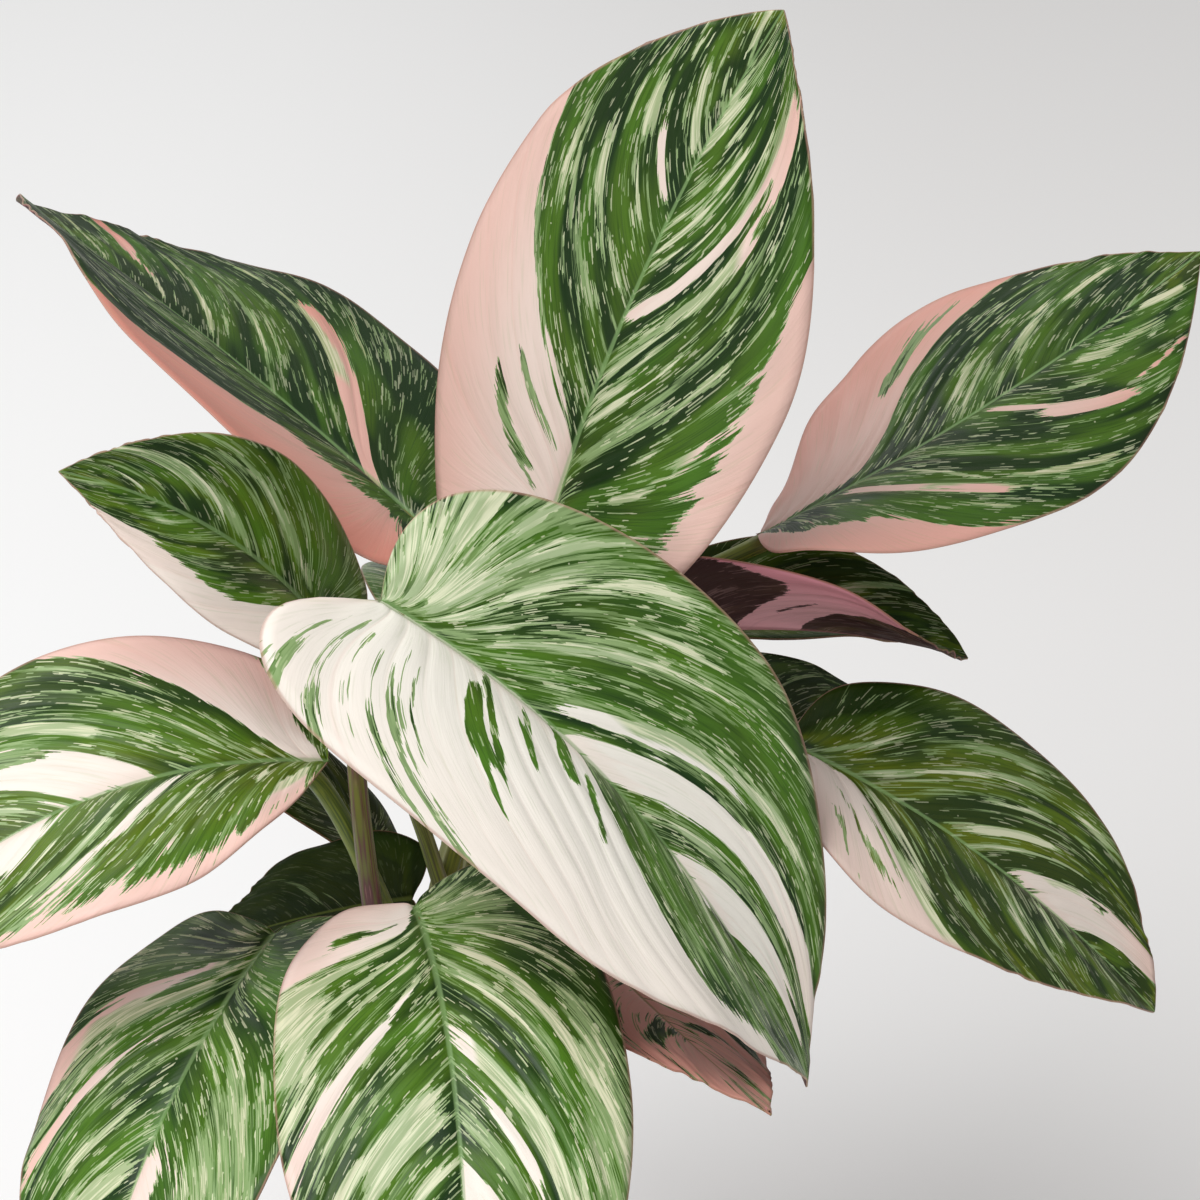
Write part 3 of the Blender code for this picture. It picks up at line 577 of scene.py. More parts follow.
def ramp(tree, value, low, high, to_low=0.0, to_high=1.0, smooth=True):
    """Maps a value from one range to another, smoothly and within limits."""
    node = tree.nodes.new('ShaderNodeMapRange')
    node.interpolation_type = 'SMOOTHSTEP' if smooth else 'LINEAR'
    for socket, given in zip(node.inputs, (value, low, high, to_low, to_high)):
        join(tree, socket, given)
    return node.outputs[0]


def noise(tree, vector, scale=1.0, detail=0.0, roughness=0.5):
    node = tree.nodes.new('ShaderNodeTexNoise')
    join(tree, node.inputs["Vector"], vector)
    node.inputs["Scale"].default_value = scale
    node.inputs["Detail"].default_value = detail
    node.inputs["Roughness"].default_value = roughness
    return node.outputs[0]


def triple(tree, x, y, z):
    node = tree.nodes.new('ShaderNodeCombineXYZ')
    for socket, value in zip(node.inputs, (x, y, z)):
        join(tree, socket, value)
    return node.outputs[0]


# %% [markdown]
# ## Pleats, veins and the midrib's channel
# Up close a calathea leaf is pleated: each side vein lies in a shallow furrow, and the midrib
# in a deeper channel that fades towards the tip. The margin is a little wavy. All of this is a
# rule of `vein` and `side`, so one Geometry Nodes tree makes it for every leaf: it lifts each
# point of the sheet along its normal.

# %% The tree that pleats a blade
def start_tree(name, inputs):
    """A Geometry Nodes tree with named inputs: {name: (socket type, default)}."""
    tree = bpy.data.node_groups.new(name, 'GeometryNodeTree')
    tree.interface.new_socket("Geometry", in_out='INPUT', socket_type='NodeSocketGeometry')
    tree.interface.new_socket("Geometry", in_out='OUTPUT', socket_type='NodeSocketGeometry')
    for label, (kind, default) in inputs.items():
        socket = tree.interface.new_socket(label, in_out='INPUT', socket_type=kind)
        if default is not None:
            socket.default_value = default
    entry = tree.nodes.new('NodeGroupInput')
    return tree, entry.outputs, tree.nodes.new('NodeGroupOutput').inputs[0]


def named(tree, label, kind='FLOAT'):
    node = tree.nodes.new('GeometryNodeInputNamedAttribute')
    node.data_type = kind
    node.inputs["Name"].default_value = label
    return node.outputs[0]


def set_inputs(modifier, values):
    """Sets a Geometry Nodes modifier's inputs by the identifiers of their sockets."""
    for item in modifier.node_group.interface.items_tree:
        if item.item_type == 'SOCKET' and item.in_out == 'INPUT' and item.name in values:
            modifier[item.identifier] = values[item.name]


PLEAT_MIDDLE = 0.7          # the height between crest and furrow that the sheet itself keeps


def pleating_tree():
    tree, given, result = start_tree("leaf pleats", {
        "Pleats": ('NodeSocketFloat', 30.0), "Pleat Height": ('NodeSocketFloat', 0.0003),
        "Channel Depth": ('NodeSocketFloat', 0.0008), "Channel Width": ('NodeSocketFloat', 1.3),
        "Wave Height": ('NodeSocketFloat', 0.001), "Waves": ('NodeSocketFloat', 4.0),
        "Seed": ('NodeSocketFloat', 0.0), "Material": ('NodeSocketMaterial', None)})
    vein, side, from_rib, outline = (named(tree, label) for label in ("vein", "side", "rib_mm", "outline"))
    out = calc(tree, 'ABSOLUTE', side)
    patch = noise(tree, triple(tree, calc(tree, 'MULTIPLY', vein, 9.0), calc(tree, 'MULTIPLY', side, 2.0),
                               given["Seed"]), 1.0, 1.0)
    turn = calc(tree, 'MULTIPLY', calc(tree, 'MULTIPLY', vein, given["Pleats"]), math.pi)
    furrow = calc(tree, 'POWER', calc(tree, 'ABSOLUTE', calc(tree, 'SINE', turn)), PLEAT_SHAPE)
    pleat = calc(tree, 'MULTIPLY', calc(tree, 'SUBTRACT', furrow, PLEAT_MIDDLE), given["Pleat Height"])
    pleat = calc(tree, 'MULTIPLY', pleat, ramp(tree, out, *RIB_FREE))
    pleat = calc(tree, 'MULTIPLY', pleat, ramp(tree, out, 0.75, 1.0, 1.0, 0.3))
    pleat = calc(tree, 'MULTIPLY', pleat, named(tree, "room"))
    pleat = calc(tree, 'MULTIPLY', pleat, ramp(tree, patch, 0.35, 0.65, 0.5, 1.6))
    swell = calc(tree, 'MULTIPLY', calc(tree, 'SUBTRACT', patch, 0.5), calc(tree, 'MULTIPLY', out, 0.004))
    away = calc(tree, 'DIVIDE', from_rib, given["Channel Width"])
    channel = calc(tree, 'EXPONENT', calc(tree, 'MULTIPLY', calc(tree, 'MULTIPLY', away, away), -1.0))
    fade = calc(tree, 'POWER', calc(tree, 'SUBTRACT', 1.0, vein), 0.7)
    channel = calc(tree, 'MULTIPLY', calc(tree, 'MULTIPLY', channel, fade), given["Channel Depth"])
    rolling = calc(tree, 'MULTIPLY', calc(tree, 'MULTIPLY', outline, given["Waves"]), 2 * math.pi)
    rolling = calc(tree, 'SINE', calc(tree, 'ADD', calc(tree, 'ADD', rolling, given["Seed"]), side))
    rolling = calc(tree, 'MULTIPLY', rolling, given["Wave Height"])
    wave = calc(tree, 'MULTIPLY', calc(tree, 'POWER', out, 3.0), rolling)
    wave = calc(tree, 'MULTIPLY', wave, ramp(tree, outline, 0.0, 0.15))
    lift = calc(tree, 'SUBTRACT', calc(tree, 'ADD', calc(tree, 'ADD', pleat, swell), wave), channel)
    lift = calc(tree, 'MULTIPLY', lift, ramp(tree, outline, 0.80, 0.94, 1.0, 0.0))
    normal = tree.nodes.new('GeometryNodeInputNormal').outputs[0]
    offset = tree.nodes.new('ShaderNodeVectorMath')
    offset.operation = 'SCALE'
    tree.links.new(normal, offset.inputs[0])
    tree.links.new(lift, offset.inputs["Scale"])
    moved = tree.nodes.new('GeometryNodeSetPosition')
    tree.links.new(given["Geometry"], moved.inputs["Geometry"])
    tree.links.new(offset.outputs[0], moved.inputs["Offset"])
    return finish_tree(tree, moved.outputs[0], given["Material"], result)


def finish_tree(tree, geometry, material, result):
    """Ends a tree: instances made real, and its material set."""
    real = tree.nodes.new('GeometryNodeRealizeInstances')
    tree.links.new(geometry, real.inputs[0])
    skin = tree.nodes.new('GeometryNodeSetMaterial')
    tree.links.new(real.outputs[0], skin.inputs["Geometry"])
    tree.links.new(material, skin.inputs["Material"])
    tree.links.new(skin.outputs[0], result)
    return tree


def grown(name, source, tree, values):
    """Runs a tree on a mesh and returns the result as a plain object."""
    carrier = bpy.data.objects.new(name + "_carrier", source)
    bpy.context.scene.collection.objects.link(carrier)
    modifier = carrier.modifiers.new("grow", 'NODES')
    modifier.node_group = tree
    set_inputs(modifier, values)
    view = bpy.context.evaluated_depsgraph_get()
    mesh = bpy.data.meshes.new_from_object(carrier.evaluated_get(view))
    bpy.data.objects.remove(carrier)
    mesh.name = name
    made = bpy.data.objects.new(name, mesh)
    bpy.context.scene.collection.objects.link(made)
    return made


# %% [markdown]
# ## The leaf's two skins
# The upper side is satin, and carries the paint. The leaves deep in the plant get a shaded copy of it:
# duller, with a darker midrib and margin, as painted shade. The underside is dull too: maroon where
# the leaf is green above, and pink where it is cream. Both read the same vein map, so a stroke shows
# through in the same place. The noise is stretched along the veins until it looks like files of cells.

# %% Noise in files of cells
def new_skin(name, roughness):
    skin = bpy.data.materials.new(name)
    skin.use_nodes = True
    shader = skin.node_tree.nodes["Principled BSDF"]
    shader.inputs["Roughness"].default_value = roughness
    return skin, skin.node_tree, shader


def blend_colour(tree, amount, first, second):
    node = tree.nodes.new('ShaderNodeMix')
    node.data_type = 'RGBA'
    node.clamp_factor = True
    join(tree, node.inputs[0], amount)
    join(tree, node.inputs[6], first)
    join(tree, node.inputs[7], second)
    return node.outputs[2]


def surface_number(tree, label):
    node = tree.nodes.new('ShaderNodeAttribute')
    node.attribute_name = label
    return node.outputs["Fac"]


def surface_triple(tree, label):
    """The three numbers that a mesh keeps under one name."""
    node = tree.nodes.new('ShaderNodeAttribute')
    node.attribute_name = label
    parts = tree.nodes.new('ShaderNodeSeparateXYZ')
    tree.links.new(node.outputs["Vector"], parts.inputs[0])
    return parts.outputs[0], parts.outputs[1], parts.outputs[2]


def vein_map(tree):
    """The vein, and the side from -1 to 1, at each point."""
    node = tree.nodes.new('ShaderNodeUVMap')
    node.uv_map = "vein_map"
    parts = tree.nodes.new('ShaderNodeSeparateXYZ')
    tree.links.new(node.outputs[0], parts.inputs[0])
    return parts.outputs[0], calc(tree, 'MULTIPLY_ADD', parts.outputs[1], 2.0, -1.0)


class VeinNoise:
    """Noise drawn out along the veins. Where the veins lie further apart, a finer one takes over."""

    def __init__(self, tree):
        self.tree = tree
        self.vein, self.side = vein_map(tree)
        travel, doubled, self.seed = surface_triple(tree, "files")
        self.travel = calc(tree, 'MULTIPLY', travel, ramp(tree, self.side, -0.001, 0.001, -1.0, 1.0))
        self.shares = []
        for level in range(SPREAD_LEVELS):
            off = calc(tree, 'ABSOLUTE', calc(tree, 'SUBTRACT', doubled, float(level)))
            self.shares.append(calc(tree, 'MAXIMUM', calc(tree, 'SUBTRACT', 1.0, off), 0.0))
        total = 0.0
        for share in self.shares:
            total = calc(tree, 'ADD', total, calc(tree, 'MULTIPLY', share, share))
        self.size = calc(tree, 'SQRT', total)

    def mixed(self, width, length, placed, detail, roughness=0.5):
        """The noises of all levels, each by its share; `placed` tells where in it a vein lies."""
        tree = self.tree
        total = 0.0
        along = calc(tree, 'MULTIPLY', self.travel, 0.5 / length)
        for level, share in enumerate(self.shares):
            across = placed(calc(tree, 'MULTIPLY', self.vein, NARROW_SPREAD * 2 ** level / width))
            value = noise(tree, triple(tree, across, along, self.seed), 1.0, detail, roughness)
            part = calc(tree, 'MULTIPLY', calc(tree, 'SUBTRACT', value, 0.5), share)
            total = calc(tree, 'ADD', total, part)
        return calc(tree, 'DIVIDE', total, self.size)

    def soft(self, width, length, detail=0.0, roughness=0.5):
        """About -0.5 to 0.5; width and length of a fleck in millimetres."""
        return self.mixed(2 * width, length, lambda across: across, detail, roughness)

    def crisp(self, width, length, likeness, shift, detail=0.0):
        """The same, but even across each file of cells, so that its sides are crisp."""
        def own_file(across):
            return calc(self.tree, 'MULTIPLY_ADD', calc(self.tree, 'FLOOR', across), likeness, shift)

        return self.mixed(width, length, own_file, detail)

    def cloud(self, across, along, detail=1.0):
        """Broad soft noise from 0 to 1."""
        tree = self.tree
        return noise(tree, triple(tree, calc(tree, 'MULTIPLY', self.vein, across),
                                  calc(tree, 'MULTIPLY', self.side, along), self.seed), 1.0, detail)


# %% Materials of the blade
FRAY = 0.9                  # how strongly each noise cuts into the edge of a stroke
STEP_FRAY = 1.1
FINE_FRAY = 0.6
CREAM_EDGE = (0.615, 0.635)
SAGE_EDGES = ((0.56, 0.585), (0.66, 0.69))
DOTS_PER_M = 380.0
DEEP_SHADE = (0.006, 0.009, 0.002, 1)


def blade_skin(name, colours, roughness, gloss, rib_colour, edge_colour):
    """One side of the leaf. colours: deep, light, olive, sage, streak, cream, pink."""
    deep, light, olive_green, sage_colour, streak_colour, cream_colour, pink_colour = colours
    skin, tree, shader = new_skin(name, roughness)
    veins = VeinNoise(tree)
    cream, sage, pink = surface_triple(tree, "marking")
    dim, olive, flecks = surface_triple(tree, "tone")
    crest = surface_number(tree, "crest")
    out = calc(tree, 'ABSOLUTE', veins.side)

    def plus(base, value, gain):
        return calc(tree, 'MULTIPLY_ADD', value, gain, base)

    ragged = veins.soft(2.6, 22.0, 3.0, 0.6)
    stepped = veins.crisp(0.75, 13.0, 0.45, 3.7, 1.0)
    fine = veins.crisp(0.32, 6.0, 0.9, 11.3)
    veiled = veins.soft(1.6, 30.0, 2.0, 0.6)
    frayed = plus(plus(calc(tree, 'MULTIPLY', ragged, FRAY), stepped, STEP_FRAY), fine, FINE_FRAY)
    cream_field = calc(tree, 'ADD', cream, frayed)
    sage_field = plus(plus(plus(sage, veiled, 1.1), stepped, 0.6), fine, 0.6)
    is_cream = ramp(tree, cream_field, *CREAM_EDGE)
    veil = calc(tree, 'ADD', calc(tree, 'MULTIPLY', ramp(tree, sage_field, *SAGE_EDGES[0]), 0.42),
                calc(tree, 'MULTIPLY', ramp(tree, sage_field, *SAGE_EDGES[1]), 0.43))
    fringe = ramp(tree, cream_field, 0.53, 0.55, 0.0, 0.8)

    # The green's tone: a random cloud, a painted highlight on the pleats' crests, and painted shade that
    # deepens with `dim`.
    shade = plus(plus(ramp(tree, veins.cloud(12.0, 1.8), 0.34, 0.66, -0.05, 0.95), crest, 0.2), dim, -1.3)
    green = blend_colour(tree, shade, deep, light)
    yellowed = calc(tree, 'MULTIPLY', olive, ramp(tree, veins.cloud(5.0, 2.2), 0.35, 0.65, 0.35, 1.0))
    yellowed = calc(tree, 'MULTIPLY', yellowed, ramp(tree, shade, 0.0, 0.6, 0.25, 1.0))
    green = blend_colour(tree, yellowed, green, olive_green)
    lines = ramp(tree, fine, -0.25, 0.25)
    green = blend_colour(tree, ramp(tree, fine, 0.0, -0.25, 0.0, 0.35), green, deep)
    veil = calc(tree, 'MAXIMUM', calc(tree, 'MULTIPLY', veil, ramp(tree, lines, 0.2, 0.8, 0.8, 1.0)), fringe)
    colour = blend_colour(tree, veil, green, sage_colour)
    clump = ramp(tree, veins.cloud(22.0, 5.0), 0.36, 0.66, 0.0, 0.17)
    speckle = veins.crisp(0.32, 3.2, 0.8, 29.1)
    dash = ramp(tree, calc(tree, 'ADD', clump, speckle), 0.25, 0.27)
    cells = tree.nodes.new('ShaderNodeTexVoronoi')
    cells.inputs["Scale"].default_value = DOTS_PER_M
    tree.links.new(tree.nodes.new('ShaderNodeTexCoord').outputs["Object"], cells.inputs["Vector"])
    chosen = ramp(tree, cells.outputs["Color"], 0.62, 0.9, 0.0, 0.13)
    dot = ramp(tree, calc(tree, 'SUBTRACT', cells.outputs["Distance"], chosen), 0.02, -0.02)
    dash = calc(tree, 'MULTIPLY', calc(tree, 'MAXIMUM', dash, calc(tree, 'MULTIPLY', dot, 0.8)), flecks)
    pale = blend_colour(tree, pink, cream_colour, pink_colour)
    pale = blend_colour(tree, ramp(tree, fine, -0.05, -0.30, 0.0, 0.14), pale, sage_colour)
    # Painted shade: the cream turns a little pink in the pleats' furrows.
    pale = blend_colour(tree, ramp(tree, crest, 0.35, 0.0, 0.0, 0.10), pale, pink_colour)
    to_sage = ramp(tree, calc(tree, 'ADD', veiled, fine), -0.12, 0.16)
    streak = blend_colour(tree, to_sage, streak_colour, sage_colour)
    pale = blend_colour(tree, calc(tree, 'MULTIPLY', surface_number(tree, "streaky"), 0.85), pale, streak)
    dash = calc(tree, 'MULTIPLY', dash, ramp(tree, veiled, -0.15, 0.15, 0.5, 1.0))
    colour = blend_colour(tree, dash, colour, streak)
    colour = blend_colour(tree, is_cream, colour, pale)
    # Painted shade: a dim leaf is blended towards the near-black DEEP_SHADE, for the shade deep in the plant.
    colour = blend_colour(tree, calc(tree, 'MULTIPLY', dim, 0.85), colour, DEEP_SHADE)
    rib_width = ramp(tree, veins.vein, 0.0, 0.9, 1.1, 0.35, smooth=False)
    on_rib = ramp(tree, calc(tree, 'DIVIDE', surface_number(tree, "rib_mm"), rib_width), 0.4, 1.1, 0.6, 0.0)
    colour = blend_colour(tree, on_rib, colour, rib_colour)
    colour = blend_colour(tree, ramp(tree, out, 0.984, 0.998, 0.0, 0.6), colour, edge_colour)
    tree.links.new(colour, shader.inputs["Base Color"])
    dullness = ramp(tree, lines, 0.0, 1.0, roughness - 0.05, roughness + 0.09)
    tree.links.new(dullness, shader.inputs["Roughness"])
    bump = tree.nodes.new('ShaderNodeBump')
    bump.inputs["Strength"].default_value = 0.35
    bump.inputs["Distance"].default_value = 0.0004
    tree.links.new(plus(fine, veiled, 1.5), bump.inputs["Height"])
    tree.links.new(bump.outputs[0], shader.inputs["Normal"])
    shader.inputs["Specular IOR Level"].default_value = gloss
    return skin


UPPER_COLOURS = (
    (0.004, 0.027, 0.003, 1), (0.062, 0.180, 0.012, 1), (0.140, 0.175, 0.002, 1),
    (0.300, 0.430, 0.185, 1), (0.68, 0.72, 0.47, 1), (0.89, 0.85, 0.77, 1), (0.80, 0.32, 0.25, 1))
UNDER_COLOURS = (
    (0.055, 0.018, 0.022, 1), (0.115, 0.045, 0.050, 1), (0.10, 0.07, 0.02, 1),
    (0.26, 0.15, 0.15, 1), (0.34, 0.20, 0.19, 1), (0.90, 0.62, 0.62, 1), (0.92, 0.34, 0.42, 1))
upper_skin = blade_skin("leaf upper side", UPPER_COLOURS, roughness=0.36, gloss=0.25,
                        rib_colour=(0.22, 0.36, 0.14, 1), edge_colour=(0.50, 0.28, 0.22, 1))
# A shaded copy of the upper skin for the leaves deep in the plant: painted shade, with a darker midrib and
# margin, and less gloss.
shaded_copy_skin = blade_skin("shaded leaf upper side", UPPER_COLOURS, roughness=0.55, gloss=0.08,
                      rib_colour=(0.12, 0.16, 0.03, 1), edge_colour=(0.30, 0.16, 0.10, 1))
under_skin = blade_skin("leaf underside", UNDER_COLOURS, roughness=0.55, gloss=0.16,
                        rib_colour=(0.30, 0.12, 0.12, 1), edge_colour=(0.42, 0.16, 0.17, 1))
SHADED_LEAVES = ("right_folded", "right_small", "right_dark", "under_front", "crown_dark", "crown_olive")
print("leaf skins:", len(upper_skin.node_tree.nodes), "nodes each")

# %% [markdown]
# ## The blades
# A blade is about half a millimetre thick, with a keel under the midrib. Solidify gives the
# sheet that thickness, more of it along the midrib, and puts the second material underneath.

# %% Make the blades
BLADE = 0.45                # millimetres
KEEL = 1.7
KEEL_TIP = 0.5              # half the keel's width at the tip
KEEL_SPREAD = 1.1           # and how much more it is at the base
KEEL_START = 0.03           # vein by which the keel is whole
THIN_BASE = 0.2             # thickness at the very base, as a share of the usual
BASE_RUN = 0.01             # vein by which the thickness is the usual
WAVE = 0.00002              # metres, for each millimetre of half the blade's width
PLEAT_HEIGHT = 0.0004       # metres


def keel_share(sheet):
    """Thickness at each point, as a share of the keel's. It starts thin where all veins meet."""
    from_rib, vein = read(sheet, "rib_mm"), read(sheet, "vein")
    width = KEEL_TIP + KEEL_SPREAD * (1 - vein)
    keel = np.exp(-(from_rib / width) ** 2) * (1 - vein) ** 0.8 * smooth_step(0.0, KEEL_START, vein)
    start = THIN_BASE + (1 - THIN_BASE) * smooth_step(0.0, BASE_RUN, vein)
    return np.clip((BLADE + (KEEL - BLADE) * keel) / KEEL * start, 0, 1)


pleats = pleating_tree()
for index, leaf in enumerate(LEAVES):
    seed = 3.0 + 7.3 * index
    sheet = leaf_sheet(leaf, seed)
    paint_sheet(sheet, leaf)
    blade = grown("blade_" + leaf.name, sheet, pleats, {
        "Pleats": float(pleat_count(leaf)), "Seed": seed, "Wave Height": WAVE * leaf.half,
        "Pleat Height": PLEAT_HEIGHT, "Material": shaded_copy_skin if leaf.name in SHADED_LEAVES else upper_skin})
    blade.data.materials.append(under_skin)
    group = blade.vertex_groups.new(name="keel")
    for point, share in enumerate(keel_share(blade.data)):
        group.add([point], float(share), 'REPLACE')
    solid = blade.modifiers.new("thickness", 'SOLIDIFY')
    solid.thickness = KEEL * MM
    solid.offset = -1.0
    solid.vertex_group = "keel"
    solid.thickness_vertex_group = 0.0
    solid.material_offset = 1
    solid.use_even_offset = False
    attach(blade, "root")
    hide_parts("leaf_" + leaf.name + "_blade")
    print(blade.name, len(blade.data.vertices), "points")

# %% [markdown]
# ## The stalks
# Each blade has a stalk of its own. Its lower two thirds are a sheath, open along the side that
# faces the heart of the plant, with thin pale lips. Above it the stalk is round, and it ends in a
# slightly thicker joint that turns the blade to the light. A stalk follows a path, so a tree
# sweeps a circle along its route, and then presses in the groove and raises the lips.

# %% The route of each stalk
ROOT_SPACING = 6.6          # millimetres: growth of the spiral on which the stalks stand
GOLDEN_ANGLE = 137.5
ROOT_DEPTH = 18.0
SOIL_DOME = 4.0             # how much higher the soil is at the crown than at the pot's wall
SHEATH_RADIUS = 3.6
STALK_RADIUS = 2.2
SHEATH_SHARE = 0.7          # the share of the stalk that the sheath wraps
STALK_TUCK = 7.0            # length of stalk that lies along under the midrib
STALK_DROP = 0.7            # how far its upper side is below the middle of the blade
STALK_STEPS = 64
JOINT_LENGTH = 11.0
JOINT_SWELL = 0.16
soil_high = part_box("soil")[1] / MM


def soil_height(radius):
    return soil_high.z - SOIL_DOME * (radius / soil_high.x) ** 2


def root_place(leaf):
    """Where the stalk stands, on the spiral in which shoots crowd round a crown."""
    radius = ROOT_SPACING * math.sqrt(leaf.root + 0.5)
    turn = math.radians(GOLDEN_ANGLE * leaf.root)
    return np.array([radius * math.cos(turn), radius * math.sin(turn), soil_height(radius)])


def stalk_radius(leaf, t):
    """Radius at share t above the soil: the sheath thins out, and the stalk above it is even."""
    sheath = np.clip(1 - t / SHEATH_SHARE, 0, 1) ** SHEATH_SHARE
    return leaf.stalk * (STALK_RADIUS + (SHEATH_RADIUS - STALK_RADIUS) * sheath)


def stalk_route(leaf):
    """Centre line from the soil to under the midrib: a sheet of edges that keeps what shapes it."""
    tuck = np.array([STALK_TUCK])
    ahead, _, up = (direction[0] for direction in rolled_frame(leaf, tuck / leaf.length))
    end = midrib_points(leaf, tuck)[0] - up * (STALK_DROP + stalk_radius(leaf, 1))
    foot = root_place(leaf)
    distance = np.linalg.norm(end - foot)
    upward = foot + UPRIGHT * leaf.rise * distance
    arrival = end - ahead * (STALK_TUCK + leaf.arch * distance)
    t = np.linspace(0, 1, STALK_STEPS + 1)[:, None]
    bezier = ((1 - t) ** 3 * foot + 3 * (1 - t) ** 2 * t * upward
              + 3 * (1 - t) * t * t * arrival + t ** 3 * end)
    points = np.vstack([foot - UPRIGHT * ROOT_DEPTH, bezier])
    share = np.concatenate([[0], t[:, 0]])
    ahead_here = np.gradient(points, axis=0)
    ahead_here /= np.linalg.norm(ahead_here, axis=1)[:, None]
    outward = (end - foot) * (1, 1, 0)
    inner = np.cross(np.cross(outward / np.linalg.norm(outward), UPRIGHT), ahead_here)
    from_end = distance * (1 - share)
    joint = 1 + JOINT_SWELL * np.exp(-((from_end - JOINT_LENGTH * 0.9) / (JOINT_LENGTH * 0.5)) ** 2)
    mesh = bpy.data.meshes.new(leaf.name + "_route")
    edges = [(k, k + 1) for k in range(len(points) - 1)]
    mesh.from_pydata([tuple(point * MM) for point in points], edges, [])
    store(mesh, "centre", points * MM)
    store(mesh, "inner", inner)
    store(mesh, "thick", stalk_radius(leaf, share) * joint * MM)
    store(mesh, "share", share)
    store(mesh, "open_sheath", 1 - smooth_step(SHEATH_SHARE - 0.16, SHEATH_SHARE, share))
    store(mesh, "joint_share", 1 - smooth_step(JOINT_LENGTH, JOINT_LENGTH * 1.5, from_end))
    return mesh


# %% The tree that sweeps and grooves a stalk
def vector_calc(tree, operation, *values, output=0):
    node = tree.nodes.new('ShaderNodeVectorMath')
    node.operation = operation
    slots = [socket for socket in node.inputs if socket.enabled]
    for socket, value in zip(slots, values):
        join(tree, socket, value)
    return node.outputs[output]


def stalk_tree():
    tree, given, result = start_tree("leaf stalk", {
        "Sides": ('NodeSocketInt', 28), "Groove Depth": ('NodeSocketFloat', 0.34),
        "Lip Height": ('NodeSocketFloat', 0.16), "Material": ('NodeSocketMaterial', None)})
    route = tree.nodes.new('GeometryNodeMeshToCurve')
    tree.links.new(given["Geometry"], route.inputs["Mesh"])
    ring = tree.nodes.new('GeometryNodeCurvePrimitiveCircle')
    tree.links.new(given["Sides"], ring.inputs["Resolution"])
    sweep = tree.nodes.new('GeometryNodeCurveToMesh')
    tree.links.new(route.outputs[0], sweep.inputs["Curve"])
    tree.links.new(ring.outputs[0], sweep.inputs["Profile Curve"])
    tree.links.new(named(tree, "thick"), sweep.inputs["Scale"])
    sweep.inputs["Fill Caps"].default_value = True
    place = tree.nodes.new('GeometryNodeInputPosition').outputs[0]
    away = vector_calc(tree, 'SUBTRACT', place, named(tree, "centre", 'FLOAT_VECTOR'))
    unit = vector_calc(tree, 'NORMALIZE', away)
    facing = vector_calc(tree, 'DOT_PRODUCT', unit, named(tree, "inner", 'FLOAT_VECTOR'), output=1)
    groove = calc(tree, 'MULTIPLY', ramp(tree, facing, 0.80, 1.0), given["Groove Depth"])
    near_lip = calc(tree, 'DIVIDE', calc(tree, 'SUBTRACT', facing, 0.70), 0.13)
    lip = calc(tree, 'EXPONENT', calc(tree, 'MULTIPLY', calc(tree, 'MULTIPLY', near_lip, near_lip), -1.0))
    lip = calc(tree, 'MULTIPLY', lip, given["Lip Height"])
    lift = calc(tree, 'MULTIPLY', calc(tree, 'SUBTRACT', lip, groove), named(tree, "open_sheath"))
    moved = tree.nodes.new('GeometryNodeSetPosition')
    offset = vector_calc(tree, 'MULTIPLY', away, triple(tree, lift, lift, lift))
    tree.links.new(offset, moved.inputs["Offset"])
    kept = tree.nodes.new('GeometryNodeStoreNamedAttribute')
    kept.inputs["Name"].default_value = "facing"
    tree.links.new(sweep.outputs[0], kept.inputs["Geometry"])
    tree.links.new(facing, kept.inputs["Value"])
    tree.links.new(kept.outputs[0], moved.inputs["Geometry"])
    return finish_tree(tree, moved.outputs[0], given["Material"], result)


# %% Material and making of the stalks
STALK_TONES = {             # how purple, and how dim by painted shade, where it isn't the usual
    "front": (1.0, 0.0), "left": (0.05, 0.0), "bottom": (0.6, 0.25), "lower_left": (0.3, 0.1),
    "crown_dark": (0.2, 0.45), "crown_olive": (0.3, 0.3), "right_folded": (0.7, 0.2),
    "upper_right": (0.15, 0.05), "under_front": (0.5, 0.3),
}
USUAL_TONE = (0.35, 0.2)


